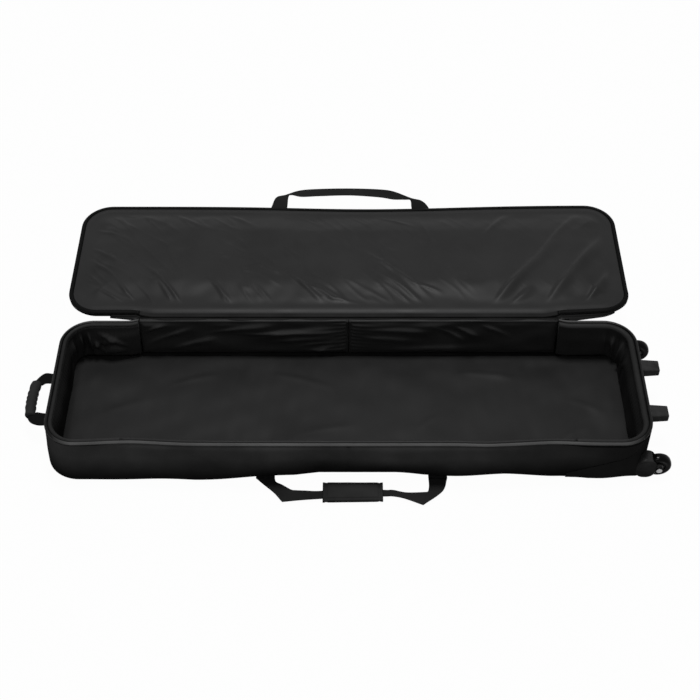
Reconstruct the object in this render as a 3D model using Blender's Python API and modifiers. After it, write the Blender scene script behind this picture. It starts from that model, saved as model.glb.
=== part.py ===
"""Long padded wheeled bag, lying open, as an assembly of separate pieces.

Metres, +Z up. X runs along the bag, with the carry end at -X and the wheels at +X.
Y runs from the front wall (-Y) back to the lid (+Y). The bag's flat bottom is z = 0.
"""
import math

import bmesh
import bpy
from mathutils import Matrix, Vector

# Tray and lid: outline at the rim, heights and layers
RIM_LENGTH = 1.460
RIM_DEPTH = 0.406
TRAY_HEIGHT = 0.130
LID_HEIGHT = 0.024
LID_ROUND = 0.012
CORNER_RADIUS = 0.078
BASE_ROUND = 0.012
COVER = 0.0030
WALL_PAD = 0.0160
BACK_PANEL = 0.0080
BOARD = 0.0030
FLOOR_PAD = 0.0140
GAP = 0.0003

# Rim binding, hinge strip and zip
BINDING = 0.0040
BINDING_WIDTH = 0.0195
HINGE_END = 0.190
HINGE_GAP = 0.030
HINGE_STRIP = 0.0020
TAPE = 0.0012
TAPE_WIDTH = 0.0140
COIL_RADIUS = 0.0013
SLIDER_LENGTH = 0.014
SLIDER_WALL = 0.0015
SLIDER_HEIGHT = 0.0074
PULL_LENGTH = 0.020
PULL_HEIGHT = 0.0050
PULL_THICK = 0.0012
PULL_PIN = 0.0007

# Wheels and their housings
WHEEL_RADIUS = 0.032
WHEEL_WIDTH = 0.024
WHEEL_REACH = 0.0205
WHEEL_SET_IN = 0.015
WHEEL_ROOM = 0.002
CORE_RADIUS = 0.0185
BEARING_RADIUS = 0.0110
BEARING_WIDTH = 0.0070
AXLE_RADIUS = 0.0040
AXLE_HEAD = 0.0070
AXLE_HEAD_HIGH = 0.0030
CHEEK = 0.005
HOUSING_LENGTH = 0.050
HOUSING_HEIGHT = 0.066
HOUSING_ROUND = 0.022
HOUSING_FLOOR = 0.0006
HOUSING_EDGE = 0.0045
NOSE_RADIUS = 0.0105
NOSE_SHORT = 0.0065
GUARD = 0.0015
GUARD_REACH = 0.207
GUARD_MID_IN = 0.050
GUARD_MID_HIGH = 0.078
GUARD_LOW = 0.004
GUARD_SEAM_DROP = 0.017

# Stand feet on the wheel end
FOOT_WIDTH = 0.040
FOOT_HEIGHT = 0.024
FOOT_TAPER = 0.86
FOOT_ROUND = 0.002
FOOT_MARGIN = 0.050
FOOT_Z = 0.088
SCREW_RADIUS = 0.0025
SCREW_HEAD = 0.0045
SCREW_SINK = 0.012
PLATE = 0.0020
PLATE_MARGIN = 0.007
PLATE_HEIGHT = 0.080
NUT_HIGH = 0.0030

# Webbing handles
WEBBING = 0.0016
STRAP_WIDTH = 0.050
STRAP_FOLDED = 0.034
FOLD_RUN = 0.050
LEG_X = 0.208
FOLD_X = 0.166
STRAP_REACH = 0.055
TRAY_TILT = math.radians(12.5)
LID_LEG_X = 0.198
LID_FOLD_X = 0.184
LID_REACH = 0.060
LID_TILT = math.radians(27.0)
ANCHOR_LENGTH = 0.120
HANDLE_AXIS_OUT = 0.0040
HANDLE_LAP = 0.0002
WRAP_LENGTH = 0.150
WRAP_SHIFT = 0.010
WRAP_WIDTH = 0.054
WRAP_THICK = 0.0120
WRAP_SLOT = 0.0026

# Grab handle on the carry end
PATCH_LENGTH = 0.200
PATCH_HEIGHT = 0.062
PATCH = 0.0020
GRAB_Z = 0.058
GRAB_REACH = 0.058
GRAB_TAB_IN = 0.035
GRAB_WIDTH = 0.034
GRIP_RADIUS = 0.0110
GRIP_LENGTH = 0.112

# Smoothness
CORNER_STEPS = 6
BASE_STEPS = 3
EDGE_STEPS = 2
ROUND_STEPS = 28
TURN_STEPS = 32

# Derived places
HALF_L = RIM_LENGTH / 2
HALF_W = RIM_DEPTH / 2
HALF_HINGE = HALF_L - HINGE_END
RIM_Z = TRAY_HEIGHT - GAP
WALL_TOP = RIM_Z - BINDING - GAP
HINGE_Y = HALF_W + HINGE_GAP / 2
LID_Y = 2 * HINGE_Y
LID_LOW = TRAY_HEIGHT - LID_HEIGHT
BOARD_LOW = COVER + GAP
FLOOR_LOW = BOARD_LOW + BOARD + GAP
FLOOR_TOP = FLOOR_LOW + FLOOR_PAD
PAD_OUT = COVER + GAP
PAD_IN = PAD_OUT + WALL_PAD
PLATE_IN = PAD_OUT + PLATE
WHEEL_X = HALF_L + WHEEL_REACH
WHEEL_Y = HALF_W - WHEEL_SET_IN
WHEEL_END = WHEEL_X + WHEEL_RADIUS
CHEEK_OUT = WHEEL_WIDTH / 2 + WHEEL_ROOM
GRAB_HALF = PATCH_LENGTH / 2 - GRAB_TAB_IN
GUARD_OUT = GAP + GUARD
GUARD_START = HALF_L - GUARD_REACH
GUARD_MID = HALF_L - GUARD_MID_IN
FLAT_HALF = HALF_W - CORNER_RADIUS
FOOT_Y = FLAT_HALF - FOOT_MARGIN
PLATE_HALF_DEPTH = FLAT_HALF - PLATE_MARGIN
QUARTER = math.pi / 2

for old in list(bpy.data.objects):
    bpy.data.objects.remove(old, do_unlink=True)

parts = bpy.data.collections.new("long_wheeled_bag")
bpy.context.scene.collection.children.link(parts)
cutters = bpy.data.collections.new("cutters")
bpy.context.scene.collection.children.link(cutters)


def make_material(name, grey, rough, metal=0.0):
    """A plain Principled material in a shade of grey."""
    mat = bpy.data.materials.new(name)
    mat.use_nodes = True
    shader = mat.node_tree.nodes["Principled BSDF"]
    shader.inputs["Base Color"].default_value = (grey, grey, grey, 1.0)
    shader.inputs["Roughness"].default_value = rough
    shader.inputs["Metallic"].default_value = metal
    return mat


COVER_CLOTH = make_material("cover_cloth", 0.018, 0.70)
LINING_CLOTH = make_material("lining_cloth", 0.035, 0.50)
WEB_CLOTH = make_material("webbing", 0.012, 0.75)
ZIP_NYLON = make_material("zip_nylon", 0.030, 0.55)
BLACK_PLASTIC = make_material("black_plastic", 0.015, 0.35)
BOARD_PLASTIC = make_material("board_plastic", 0.050, 0.60)
FOAM = make_material("foam", 0.060, 0.90)
TYRE = make_material("tyre", 0.010, 0.25)
STEEL = make_material("steel", 0.450, 0.35, 1.0)


def finish(obj, mat, cutter=False):
    """Link the object to its collection and give it its material."""
    if cutter:
        cutters.objects.link(obj)
        obj.hide_render = True
        obj.display_type = "WIRE"
    else:
        parts.objects.link(obj)
        obj.data.materials.append(mat)
    return obj


def arc(cx, cy, radius, start, sweep, steps):
    """Points of an arc, both ends included."""
    angles = [start + sweep * i / steps for i in range(steps + 1)]
    return [(cx + radius * math.cos(a), cy + radius * math.sin(a)) for a in angles]


def circle(cx, cy, radius):
    """Points of a full circle."""
    return arc(cx, cy, radius, 0.0, 2 * math.pi, ROUND_STEPS)[:-1]


def corner(inset, quadrant):
    """One rounded corner of the rim outline, set in from it."""
    signs = ((1, 1), (-1, 1), (-1, -1), (1, -1))[quadrant]
    radius = CORNER_RADIUS - inset
    cx = signs[0] * (HALF_L - CORNER_RADIUS)
    cy = signs[1] * (HALF_W - CORNER_RADIUS)
    return arc(cx, cy, radius, quadrant * QUARTER, QUARTER, CORNER_STEPS)


def full_outline(inset):
    """The whole rim outline, set in from it."""
    points = []
    for quadrant in range(4):
        points += corner(inset, quadrant)
    return points


def rim_path(inset, stop):
    """The rim outline from one end of the hinge round the front to the other."""
    back = HALF_W - inset
    points = [(-stop, back)]
    for quadrant in (1, 2, 3, 0):
        points += corner(inset, quadrant)
    return points + [(stop, back)]


def end_path(inset, stop, side):
    """The rim outline round one end, from the back wall to the front wall."""
    side_in = HALF_W - inset
    if side < 0:
        return [(-stop, side_in)] + corner(inset, 1) + corner(inset, 2) + [(-stop, -side_in)]
    return [(stop, -side_in)] + corner(inset, 3) + corner(inset, 0) + [(stop, side_in)]


def band(outer, inner):
    """A closed outline between two paths that run the same way."""
    return outer + inner[::-1]


def onto_lid(points):
    """Mirror a tray outline across the hinge line onto the open lid."""
    return [(x, LID_Y - y) for x, y in points]


def box_outline(x0, x1, y0, y1):
    """A plain rectangle."""
    return [(x0, y0), (x1, y0), (x1, y1), (x0, y1)]


def strap_outline(centre, widths):
    """A flat strap with mitred folds along a line of points, each with its width."""
    line = [Vector(p) for p in centre]
    left = []
    right = []
    for i, here in enumerate(line):
        before = (here - line[i - 1]).normalized() if i else (line[1] - here).normalized()
        after = (line[i + 1] - here).normalized() if i + 1 < len(line) else before
        normal = Vector((-before.y - after.y, before.x + after.x)).normalized()
        reach = widths[i] / 2 / normal.dot(Vector((-before.y, before.x)))
        left.append(tuple(here + normal * reach))
        right.append(tuple(here - normal * reach))
    return left + right[::-1]


def slab(name, loops, low, high, mat, frame=None, cutter=False):
    """A flat outline, holes included, drawn out from low to high along its own Z."""
    curve = bpy.data.curves.new(name, "CURVE")
    curve.dimensions = "2D"
    curve.fill_mode = "BOTH"
    curve.extrude = (high - low) / 2
    for loop in loops:
        spline = curve.splines.new("POLY")
        spline.points.add(len(loop) - 1)
        for point, (x, y) in zip(spline.points, loop):
            point.co = (x, y, 0.0, 1.0)
        spline.use_cyclic_u = True
    sketch = bpy.data.objects.new(name + "_sketch", curve)
    mesh = bpy.data.meshes.new_from_object(sketch)
    bpy.data.objects.remove(sketch)
    bm = bmesh.new()
    bm.from_mesh(mesh)
    bpy.data.meshes.remove(mesh)
    bmesh.ops.remove_doubles(bm, verts=bm.verts[:], dist=GAP / 100)
    obj = mesh_object(name, bm, mat, cutter)
    lift = Matrix.Translation((0.0, 0.0, (low + high) / 2))
    obj.matrix_world = (frame or Matrix()) @ lift
    return obj


def tube(name, points, radius, z, mat):
    """A round cord along an open path at one height."""
    curve = bpy.data.curves.new(name, "CURVE")
    curve.dimensions = "3D"
    curve.bevel_depth = radius
    curve.bevel_resolution = 1
    curve.use_fill_caps = True
    spline = curve.splines.new("POLY")
    spline.points.add(len(points) - 1)
    for point, (x, y) in zip(spline.points, points):
        point.co = (x, y, z, 1.0)
    return finish(bpy.data.objects.new(name, curve), mat)


def mesh_object(name, bm, mat, cutter=False):
    """Turn a bmesh into an object with outward faces."""
    bmesh.ops.recalc_face_normals(bm, faces=bm.faces[:])
    mesh = bpy.data.meshes.new(name)
    bm.to_mesh(mesh)
    bm.free()
    return finish(bpy.data.objects.new(name, mesh), mat, cutter)


def box_mesh(x0, x1, y0, y1, z0, z1):
    """A box in a new bmesh."""
    bm = bmesh.new()
    bmesh.ops.create_cube(bm, size=1.0)
    size = Matrix.Diagonal((x1 - x0, y1 - y0, z1 - z0, 1.0))
    middle = Matrix.Translation(((x0 + x1) / 2, (y0 + y1) / 2, (z0 + z1) / 2))
    bmesh.ops.transform(bm, matrix=middle @ size, verts=bm.verts[:])
    return bm


def rounded_box(grow, centre_y, z0, z1, base_round):
    """A box with the bag's plan corners and a rounded bottom edge, grown outward."""
    bm = box_mesh(-HALF_L - grow, HALF_L + grow, centre_y - HALF_W - grow,
                  centre_y + HALF_W + grow, z0, z1)
    upright = [e for e in bm.edges if abs(e.verts[0].co.z - e.verts[1].co.z) > GAP]
    bmesh.ops.bevel(bm, geom=upright, offset=CORNER_RADIUS + grow, segments=CORNER_STEPS,
                    profile=0.5, affect="EDGES")
    low = [e for e in bm.edges if max(v.co.z for v in e.verts) < z0 + GAP]
    bmesh.ops.bevel(bm, geom=low, offset=base_round, segments=BASE_STEPS, profile=0.5,
                    affect="EDGES")
    return bm


def tub(name, grow, centre_y, z0, z1, base_round, wall, mat):
    """An open-topped shell with the bag's plan corners and a rounded bottom edge."""
    bm = rounded_box(grow, centre_y, z0, z1, base_round)
    top = [f for f in bm.faces if min(v.co.z for v in f.verts) > z1 - GAP]
    bmesh.ops.delete(bm, geom=top, context="FACES_ONLY")
    obj = mesh_object(name, bm, mat)
    shell = obj.modifiers.new("wall", "SOLIDIFY")
    shell.thickness = wall
    shell.offset = -1.0
    shell.use_even_offset = True
    return obj


def combine(obj, other, how):
    """Cut, join or keep the common part with an exact Boolean."""
    step = obj.modifiers.new(how.lower(), "BOOLEAN")
    step.operation = how
    step.solver = "EXACT"
    step.object = other
    return obj


def lathe(name, profile, centre, mat, cutter=False):
    """Turn a closed profile of (radius, along) pairs about a line along Y."""
    bm = bmesh.new()
    verts = [bm.verts.new((r, along, 0.0)) for r, along in reversed(profile)]
    for i, vert in enumerate(verts):
        bm.edges.new((vert, verts[(i + 1) % len(verts)]))
    mesh = bpy.data.meshes.new(name)
    bm.to_mesh(mesh)
    bm.free()
    obj = finish(bpy.data.objects.new(name, mesh), mat, cutter)
    turn = obj.modifiers.new("turn", "SCREW")
    turn.axis = "Y"
    turn.steps = TURN_STEPS
    turn.render_steps = TURN_STEPS
    turn.use_merge_vertices = True
    turn.merge_threshold = GAP / 10
    obj.location = centre
    return obj


def ring(r_in, r_out, low, high):
    """Profile of a plain ring."""
    return [(r_in, low), (r_out, low), (r_out, high), (r_in, high)]


def rod(name, low, high, radius, frame, mat=None):
    """A round bar along a frame's own Z, as a cutter unless it has a material."""
    return slab(name, [circle(0.0, 0.0, radius)], low, high, mat, frame, mat is None)


# Frames whose own Z runs along the bag, across it or straight up from a place
def along_x(x, y, z):
    """Own Z to +X, own X to +Y, own Y to +Z."""
    turn = Matrix(((0, 0, 1), (1, 0, 0), (0, 1, 0))).to_4x4()
    return Matrix.Translation((x, y, z)) @ turn


def along_y(x, y, z):
    """Own Z to +Y, own X to +Z, own Y to +X."""
    turn = Matrix(((0, 1, 0), (0, 0, 1), (1, 0, 0))).to_4x4()
    return Matrix.Translation((x, y, z)) @ turn


# Tray: outer cover with two shallow seats in its bottom for the carry webbing
cover = tub("tray_outer_cover", 0.0, 0.0, 0.0, WALL_TOP, BASE_ROUND, COVER, COVER_CLOTH)
SEAT_IN = -HALF_W + ANCHOR_LENGTH
AXIS_Y = -HALF_W - HANDLE_AXIS_OUT
for side, word in ((-1, "left"), (1, "right")):
    middle = side * LEG_X
    half = STRAP_WIDTH / 2
    seat = slab("seat_" + word, [box_outline(middle - half - GAP, middle + half + GAP,
                -HALF_W - HALF_W, SEAT_IN + GAP)], -WEBBING, WEBBING + 2 * GAP, None, None, True)
    combine(cover, seat, "DIFFERENCE")
    anchor = box_outline(middle - half, middle + half, AXIS_Y - HANDLE_LAP, SEAT_IN)
    slab("tray_handle_anchor_" + word, [anchor], GAP, GAP + WEBBING, WEB_CLOTH)

slab("bottom_board", [full_outline(BASE_ROUND + GAP)], BOARD_LOW, BOARD_LOW + BOARD, BOARD_PLASTIC)
slab("floor_pad", [full_outline(PAD_IN + GAP)], FLOOR_LOW, FLOOR_TOP, LINING_CLOTH)

# Wall padding: thick round both ends and the front, thin along the back
PAD_LOW = max(BASE_ROUND, FLOOR_TOP) + GAP
left_pad = band(end_path(PAD_OUT, HALF_HINGE, -1), end_path(PAD_IN, HALF_HINGE, -1))
slab("left_end_pad", [left_pad], PAD_LOW, WALL_TOP, LINING_CLOTH)
right_pad = band(end_path(PLATE_IN + GAP, HALF_HINGE, 1), end_path(PAD_IN, HALF_HINGE, 1))
slab("right_end_pad", [right_pad], PAD_LOW, WALL_TOP, LINING_CLOTH)
front_pad = box_outline(-HALF_HINGE + GAP, HALF_HINGE - GAP, -HALF_W + PAD_OUT, -HALF_W + PAD_IN)
slab("front_wall_pad", [front_pad], PAD_LOW, WALL_TOP, LINING_CLOTH)
STRIP_LOW = RIM_Z - HINGE_STRIP
for side, word in ((-1, "left"), (1, "right")):
    ends = sorted((side * GAP, side * (HALF_HINGE - GAP)))
    panel = box_outline(ends[0], ends[1], HALF_W - PAD_OUT - BACK_PANEL, HALF_W - PAD_OUT)
    slab("back_wall_panel_" + word, [panel], PAD_LOW, STRIP_LOW - GAP, LINING_CLOTH)

# Rim: binding, zip tape and coil, and the hinge strip along the middle of the back
tray_binding = band(rim_path(0.0, HALF_HINGE), rim_path(BINDING_WIDTH, HALF_HINGE))
tray_tape = band(rim_path(-GAP - TAPE, HALF_HINGE), rim_path(-GAP, HALF_HINGE))
coil_line = rim_path(-GAP - TAPE - GAP - COIL_RADIUS, HALF_HINGE)
COIL_Z = RIM_Z - COIL_RADIUS - GAP
TAPE_LOW = RIM_Z - TAPE_WIDTH
HINGE_IN = HALF_W - PAD_OUT - BACK_PANEL
tray_strip = box_outline(-HALF_HINGE + GAP, HALF_HINGE - GAP, HINGE_IN, HINGE_Y - GAP)
slab("tray_rim_binding", [tray_binding], RIM_Z - BINDING, RIM_Z, COVER_CLOTH)
slab("tray_zip_tape", [tray_tape], TAPE_LOW, RIM_Z, ZIP_NYLON)
tube("tray_zip_coil", coil_line, COIL_RADIUS, COIL_Z, ZIP_NYLON)
slab("tray_hinge_strip", [tray_strip], STRIP_LOW, RIM_Z, LINING_CLOTH)

# Lid, folded back level behind the tray: the same outline, mirrored across the hinge
tub("lid_outer_cover", 0.0, LID_Y, LID_LOW, WALL_TOP, LID_ROUND, COVER, COVER_CLOTH)
foam = rounded_box(-PAD_OUT, LID_Y, LID_LOW + PAD_OUT, WALL_TOP, LID_ROUND - PAD_OUT)
mesh_object("lid_foam_panel", foam, FOAM)
lid_lining = onto_lid(full_outline(BINDING_WIDTH + GAP))
slab("lid_lining_panel", [lid_lining], WALL_TOP + GAP, RIM_Z, LINING_CLOTH)
slab("lid_rim_binding", [onto_lid(tray_binding)], RIM_Z - BINDING, RIM_Z, COVER_CLOTH)
slab("lid_zip_tape", [onto_lid(tray_tape)], TAPE_LOW, RIM_Z, ZIP_NYLON)
tube("lid_zip_coil", onto_lid(coil_line), COIL_RADIUS, COIL_Z, ZIP_NYLON)
lid_strip = box_outline(-HALF_HINGE + GAP, HALF_HINGE - GAP, HINGE_Y + GAP,
                        LID_Y - HALF_W + BINDING_WIDTH)
slab("lid_hinge_strip", [lid_strip], STRIP_LOW, RIM_Z, LINING_CLOTH)
LID_FAR = LID_Y + HALF_W
LID_AXIS_Y = LID_FAR + HANDLE_AXIS_OUT
LID_WEB_TOP = LID_LOW - GAP
for side, word in ((-1, "left"), (1, "right")):
    middle = side * LID_LEG_X
    half = STRAP_WIDTH / 2
    anchor = box_outline(middle - half, middle + half, LID_FAR - ANCHOR_LENGTH, LID_AXIS_Y + HANDLE_LAP)
    slab("lid_handle_anchor_" + word, [anchor], LID_WEB_TOP - WEBBING, LID_WEB_TOP, WEB_CLOTH)

# Carry handles: flat webbing loops with mitred folds, swung about the bag's edges
def handle_loop(leg_x, fold_x, reach):
    """A webbing loop from leg to leg, folded narrower where the hand holds it."""
    start = -WEBBING / 2 - GAP
    half = [(leg_x, start), (fold_x, -reach), (fold_x - FOLD_RUN, -reach)]
    line = [(-x, y) for x, y in half] + half[::-1]
    widths = [STRAP_WIDTH, STRAP_WIDTH, STRAP_FOLDED]
    outline = strap_outline(line, widths + widths[::-1])
    return [(x, min(y, start)) for x, y in outline]


loop = handle_loop(LEG_X, FOLD_X, STRAP_REACH)
TRAY_WEB_Z = GAP + WEBBING / 2
tray_axis = Matrix.Translation((0.0, AXIS_Y, TRAY_WEB_Z))
tray_frame = tray_axis @ Matrix.Rotation(-TRAY_TILT, 4, "X")
slab("tray_handle_webbing", [loop], -WEBBING / 2, WEBBING / 2, WEB_CLOTH, tray_frame)
LID_WEB_Z = LID_WEB_TOP - WEBBING / 2
lid_axis = Matrix.Translation((0.0, LID_AXIS_Y, LID_WEB_Z))
lid_frame = lid_axis @ Matrix.Rotation(LID_TILT, 4, "X")
lid_loop = [(x, -y) for x, y in handle_loop(LID_LEG_X, LID_FOLD_X, LID_REACH)]
slab("lid_handle_webbing", [lid_loop], -WEBBING / 2, WEBBING / 2, WEB_CLOTH, lid_frame)

# Padded wrap closed round the tray handle, hollow where the webbing runs through
half = WRAP_WIDTH / 2
high = WRAP_THICK / 2
wrap_skin = []
for cx, start in ((half - high, -QUARTER), (high - half, QUARTER)):
    wrap_skin += arc(cx, 0.0, high, start, math.pi, CORNER_STEPS)
slot_half = STRAP_FOLDED / 2 + GAP
slot = box_outline(-slot_half, slot_half, -WRAP_SLOT / 2, WRAP_SLOT / 2)
wrap_frame = tray_frame @ along_x(WRAP_SHIFT, -STRAP_REACH, 0.0)
slab("handle_grip_wrap", [wrap_skin, slot], -WRAP_LENGTH / 2, WRAP_LENGTH / 2, COVER_CLOTH, wrap_frame)

# Grab handle on the carry end: patch, sewn tabs, strap and round grip
PATCH_X = -HALF_L - GAP
TAB_X = PATCH_X - PATCH - GAP
GRAB_X = TAB_X - WEBBING - GAP - WEBBING / 2
half = PATCH_HEIGHT / 2
patch = box_outline(-PATCH_LENGTH / 2, PATCH_LENGTH / 2, GRAB_Z - half, GRAB_Z + half)
upright_frame = along_x(0.0, 0.0, 0.0)
slab("end_handle_patch", [patch], PATCH_X - PATCH, PATCH_X, COVER_CLOTH, upright_frame)
for side, word in ((-1, "front"), (1, "rear")):
    middle = side * GRAB_HALF
    half = GRAB_WIDTH / 2
    tab = box_outline(middle - half, middle + half, GRAB_Z - PATCH_HEIGHT / 2, GRAB_Z + WEBBING)
    slab(word + "_end_handle_tab", [tab], TAB_X - WEBBING, TAB_X, WEB_CLOTH, upright_frame)
grab_frame = Matrix.Translation((GRAB_X, 0.0, GRAB_Z))
leg_in = GRAB_HALF - GRAB_WIDTH / 2
leg_out = GRAB_HALF + GRAB_WIDTH / 2
grab_far = -GRAB_REACH - GRIP_RADIUS / 2
grab_near = -GRAB_REACH + GRIP_RADIUS / 2
grab_bar = [(GAP, -leg_out), (GAP, -leg_in), (grab_near, -leg_in), (grab_near, leg_in),
            (GAP, leg_in), (GAP, leg_out), (grab_near, leg_out), (grab_far, GRAB_HALF),
            (grab_far, -GRAB_HALF), (grab_near, -leg_out)]
slab("end_handle_strap", [grab_bar], -WEBBING / 2, WEBBING / 2, WEB_CLOTH, grab_frame)
grip_skin = circle(0.0, 0.0, GRIP_RADIUS)
half = GRIP_RADIUS / 2 + GAP
grip_slot = box_outline(-WEBBING / 2 - GAP, WEBBING / 2 + GAP, -half, half)
grip_half = min(GRIP_LENGTH / 2, leg_in - GAP)
grip_frame = grab_frame @ along_y(-GRAB_REACH, 0.0, 0.0)
slab("end_handle_grip", [grip_skin, grip_slot], -grip_half, grip_half, BLACK_PLASTIC, grip_frame)

# Wheel end: sloped guard panel sewn round the cover
guard = tub("wheel_end_guard", GUARD_OUT, 0.0, -GUARD_OUT, TAPE_LOW - GAP, BASE_ROUND + GUARD_OUT,
            GUARD, COVER_CLOTH)
guard_top = TAPE_LOW - GAP
reach = HALF_L + HALF_L
keep_line = [(GUARD_LOW, GUARD_START), (GUARD_LOW, reach), (guard_top + GAP, reach),
             (guard_top + GAP, GUARD_MID + GUARD_SEAM_DROP + GUARD_SEAM_DROP),
             (GUARD_MID_HIGH, GUARD_MID), (GUARD_LOW + GUARD_SEAM_DROP, GUARD_START)]
keep = slab("guard_keep", [keep_line], -HALF_L, HALF_L, None, along_y(0.0, 0.0, 0.0), True)
combine(guard, keep, "INTERSECT")

# Stand feet, screwed through the guard and cover to a plate behind them
FOOT_X = HALF_L + GUARD_OUT + GAP
plate_low = FOOT_Z - PLATE_HEIGHT / 2
plate_shape = box_outline(-PLATE_HALF_DEPTH, PLATE_HALF_DEPTH, plate_low, plate_low + PLATE_HEIGHT)
plate_shape = [(y, min(max(z, PAD_LOW), WALL_TOP - GAP)) for y, z in plate_shape]
bolt_holes = [circle(side * FOOT_Y, FOOT_Z, SCREW_RADIUS + GAP) for side in (-1, 1)]
slab("end_backing_plate", [plate_shape] + bolt_holes, HALF_L - PLATE_IN, HALF_L - PAD_OUT,
     BOARD_PLASTIC, upright_frame)
for side, word in ((-1, "front"), (1, "rear")):
    bm = box_mesh(FOOT_X, WHEEL_END, side * FOOT_Y - FOOT_WIDTH / 2, side * FOOT_Y + FOOT_WIDTH / 2,
                  FOOT_Z - FOOT_HEIGHT / 2, FOOT_Z + FOOT_HEIGHT / 2)
    for vert in bm.verts:
        if vert.co.x > FOOT_X + GAP:
            vert.co.y = side * FOOT_Y + (vert.co.y - side * FOOT_Y) * FOOT_TAPER
            vert.co.z = FOOT_Z + (vert.co.z - FOOT_Z) * FOOT_TAPER
    foot = mesh_object(word + "_stand_foot", bm, BLACK_PLASTIC)
    soften = foot.modifiers.new("edges", "BEVEL")
    soften.width = FOOT_ROUND
    soften.segments = 1
    bolt_frame = along_x(0.0, side * FOOT_Y, FOOT_Z)
    hole = rod(word + "_foot_hole", HALF_L - COVER - GAP, WHEEL_END + GAP, SCREW_RADIUS + GAP, bolt_frame)
    sink = rod(word + "_foot_sink", WHEEL_END - SCREW_SINK - GAP, WHEEL_END + GAP, SCREW_HEAD + GAP,
               bolt_frame)
    combine(foot, hole, "DIFFERENCE")
    combine(foot, sink, "DIFFERENCE")
    combine(guard, hole, "DIFFERENCE")
    combine(cover, hole, "DIFFERENCE")
NUT_END = HALF_L - PLATE_IN - GAP
nut_rooms = [circle(side * FOOT_Y, FOOT_Z, SCREW_HEAD + GAP) for side in (-1, 1)]
nut_room = slab("nut_room", nut_rooms, NUT_END - NUT_HIGH - GAP, HALF_L, None, upright_frame, True)
combine(bpy.data.objects["right_end_pad"], nut_room, "DIFFERENCE")
for side, word in ((-1, "front"), (1, "rear")):
    bolt_frame = along_x(0.0, side * FOOT_Y, FOOT_Z)
    head_low = WHEEL_END - SCREW_SINK
    screw = rod(word + "_foot_screw", NUT_END - NUT_HIGH, head_low + GAP, SCREW_RADIUS, bolt_frame, STEEL)
    cap = rod(word + "_screw_cap", head_low, head_low + SCREW_HEAD, SCREW_HEAD, bolt_frame)
    combine(screw, cap, "UNION")
    nut_loops = [circle(0.0, 0.0, SCREW_HEAD), circle(0.0, 0.0, SCREW_RADIUS + GAP)]
    slab(word + "_foot_nut", nut_loops, NUT_END - NUT_HIGH, NUT_END, STEEL, bolt_frame)

# Wheels and housings at the two corners of the wheel end
corner_room = rounded_box(GUARD_OUT + GAP, 0.0, -GUARD_OUT - GAP, TRAY_HEIGHT,
                          BASE_ROUND + GUARD_OUT + GAP)
corner_room = mesh_object("corner_room", corner_room, None, True)
HOUSE_OUT = CHEEK_OUT + CHEEK
HUB_HALF = WHEEL_WIDTH / 2 - WHEEL_ROOM / 2
SPACER_HALF = HUB_HALF - BEARING_WIDTH - GAP
TREAD = WHEEL_WIDTH / 2
TREAD_SIDE = TREAD * 0.6
TREAD_SHOULDER = WHEEL_RADIUS * 0.94
tyre_line = [(CORE_RADIUS, -HUB_HALF), (TREAD_SHOULDER - WHEEL_ROOM, -TREAD),
             (TREAD_SHOULDER, -TREAD * 0.9), (WHEEL_RADIUS, -TREAD_SIDE),
             (WHEEL_RADIUS, TREAD_SIDE), (TREAD_SHOULDER, TREAD * 0.9),
             (TREAD_SHOULDER - WHEEL_ROOM, TREAD), (CORE_RADIUS, HUB_HALF)]
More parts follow.
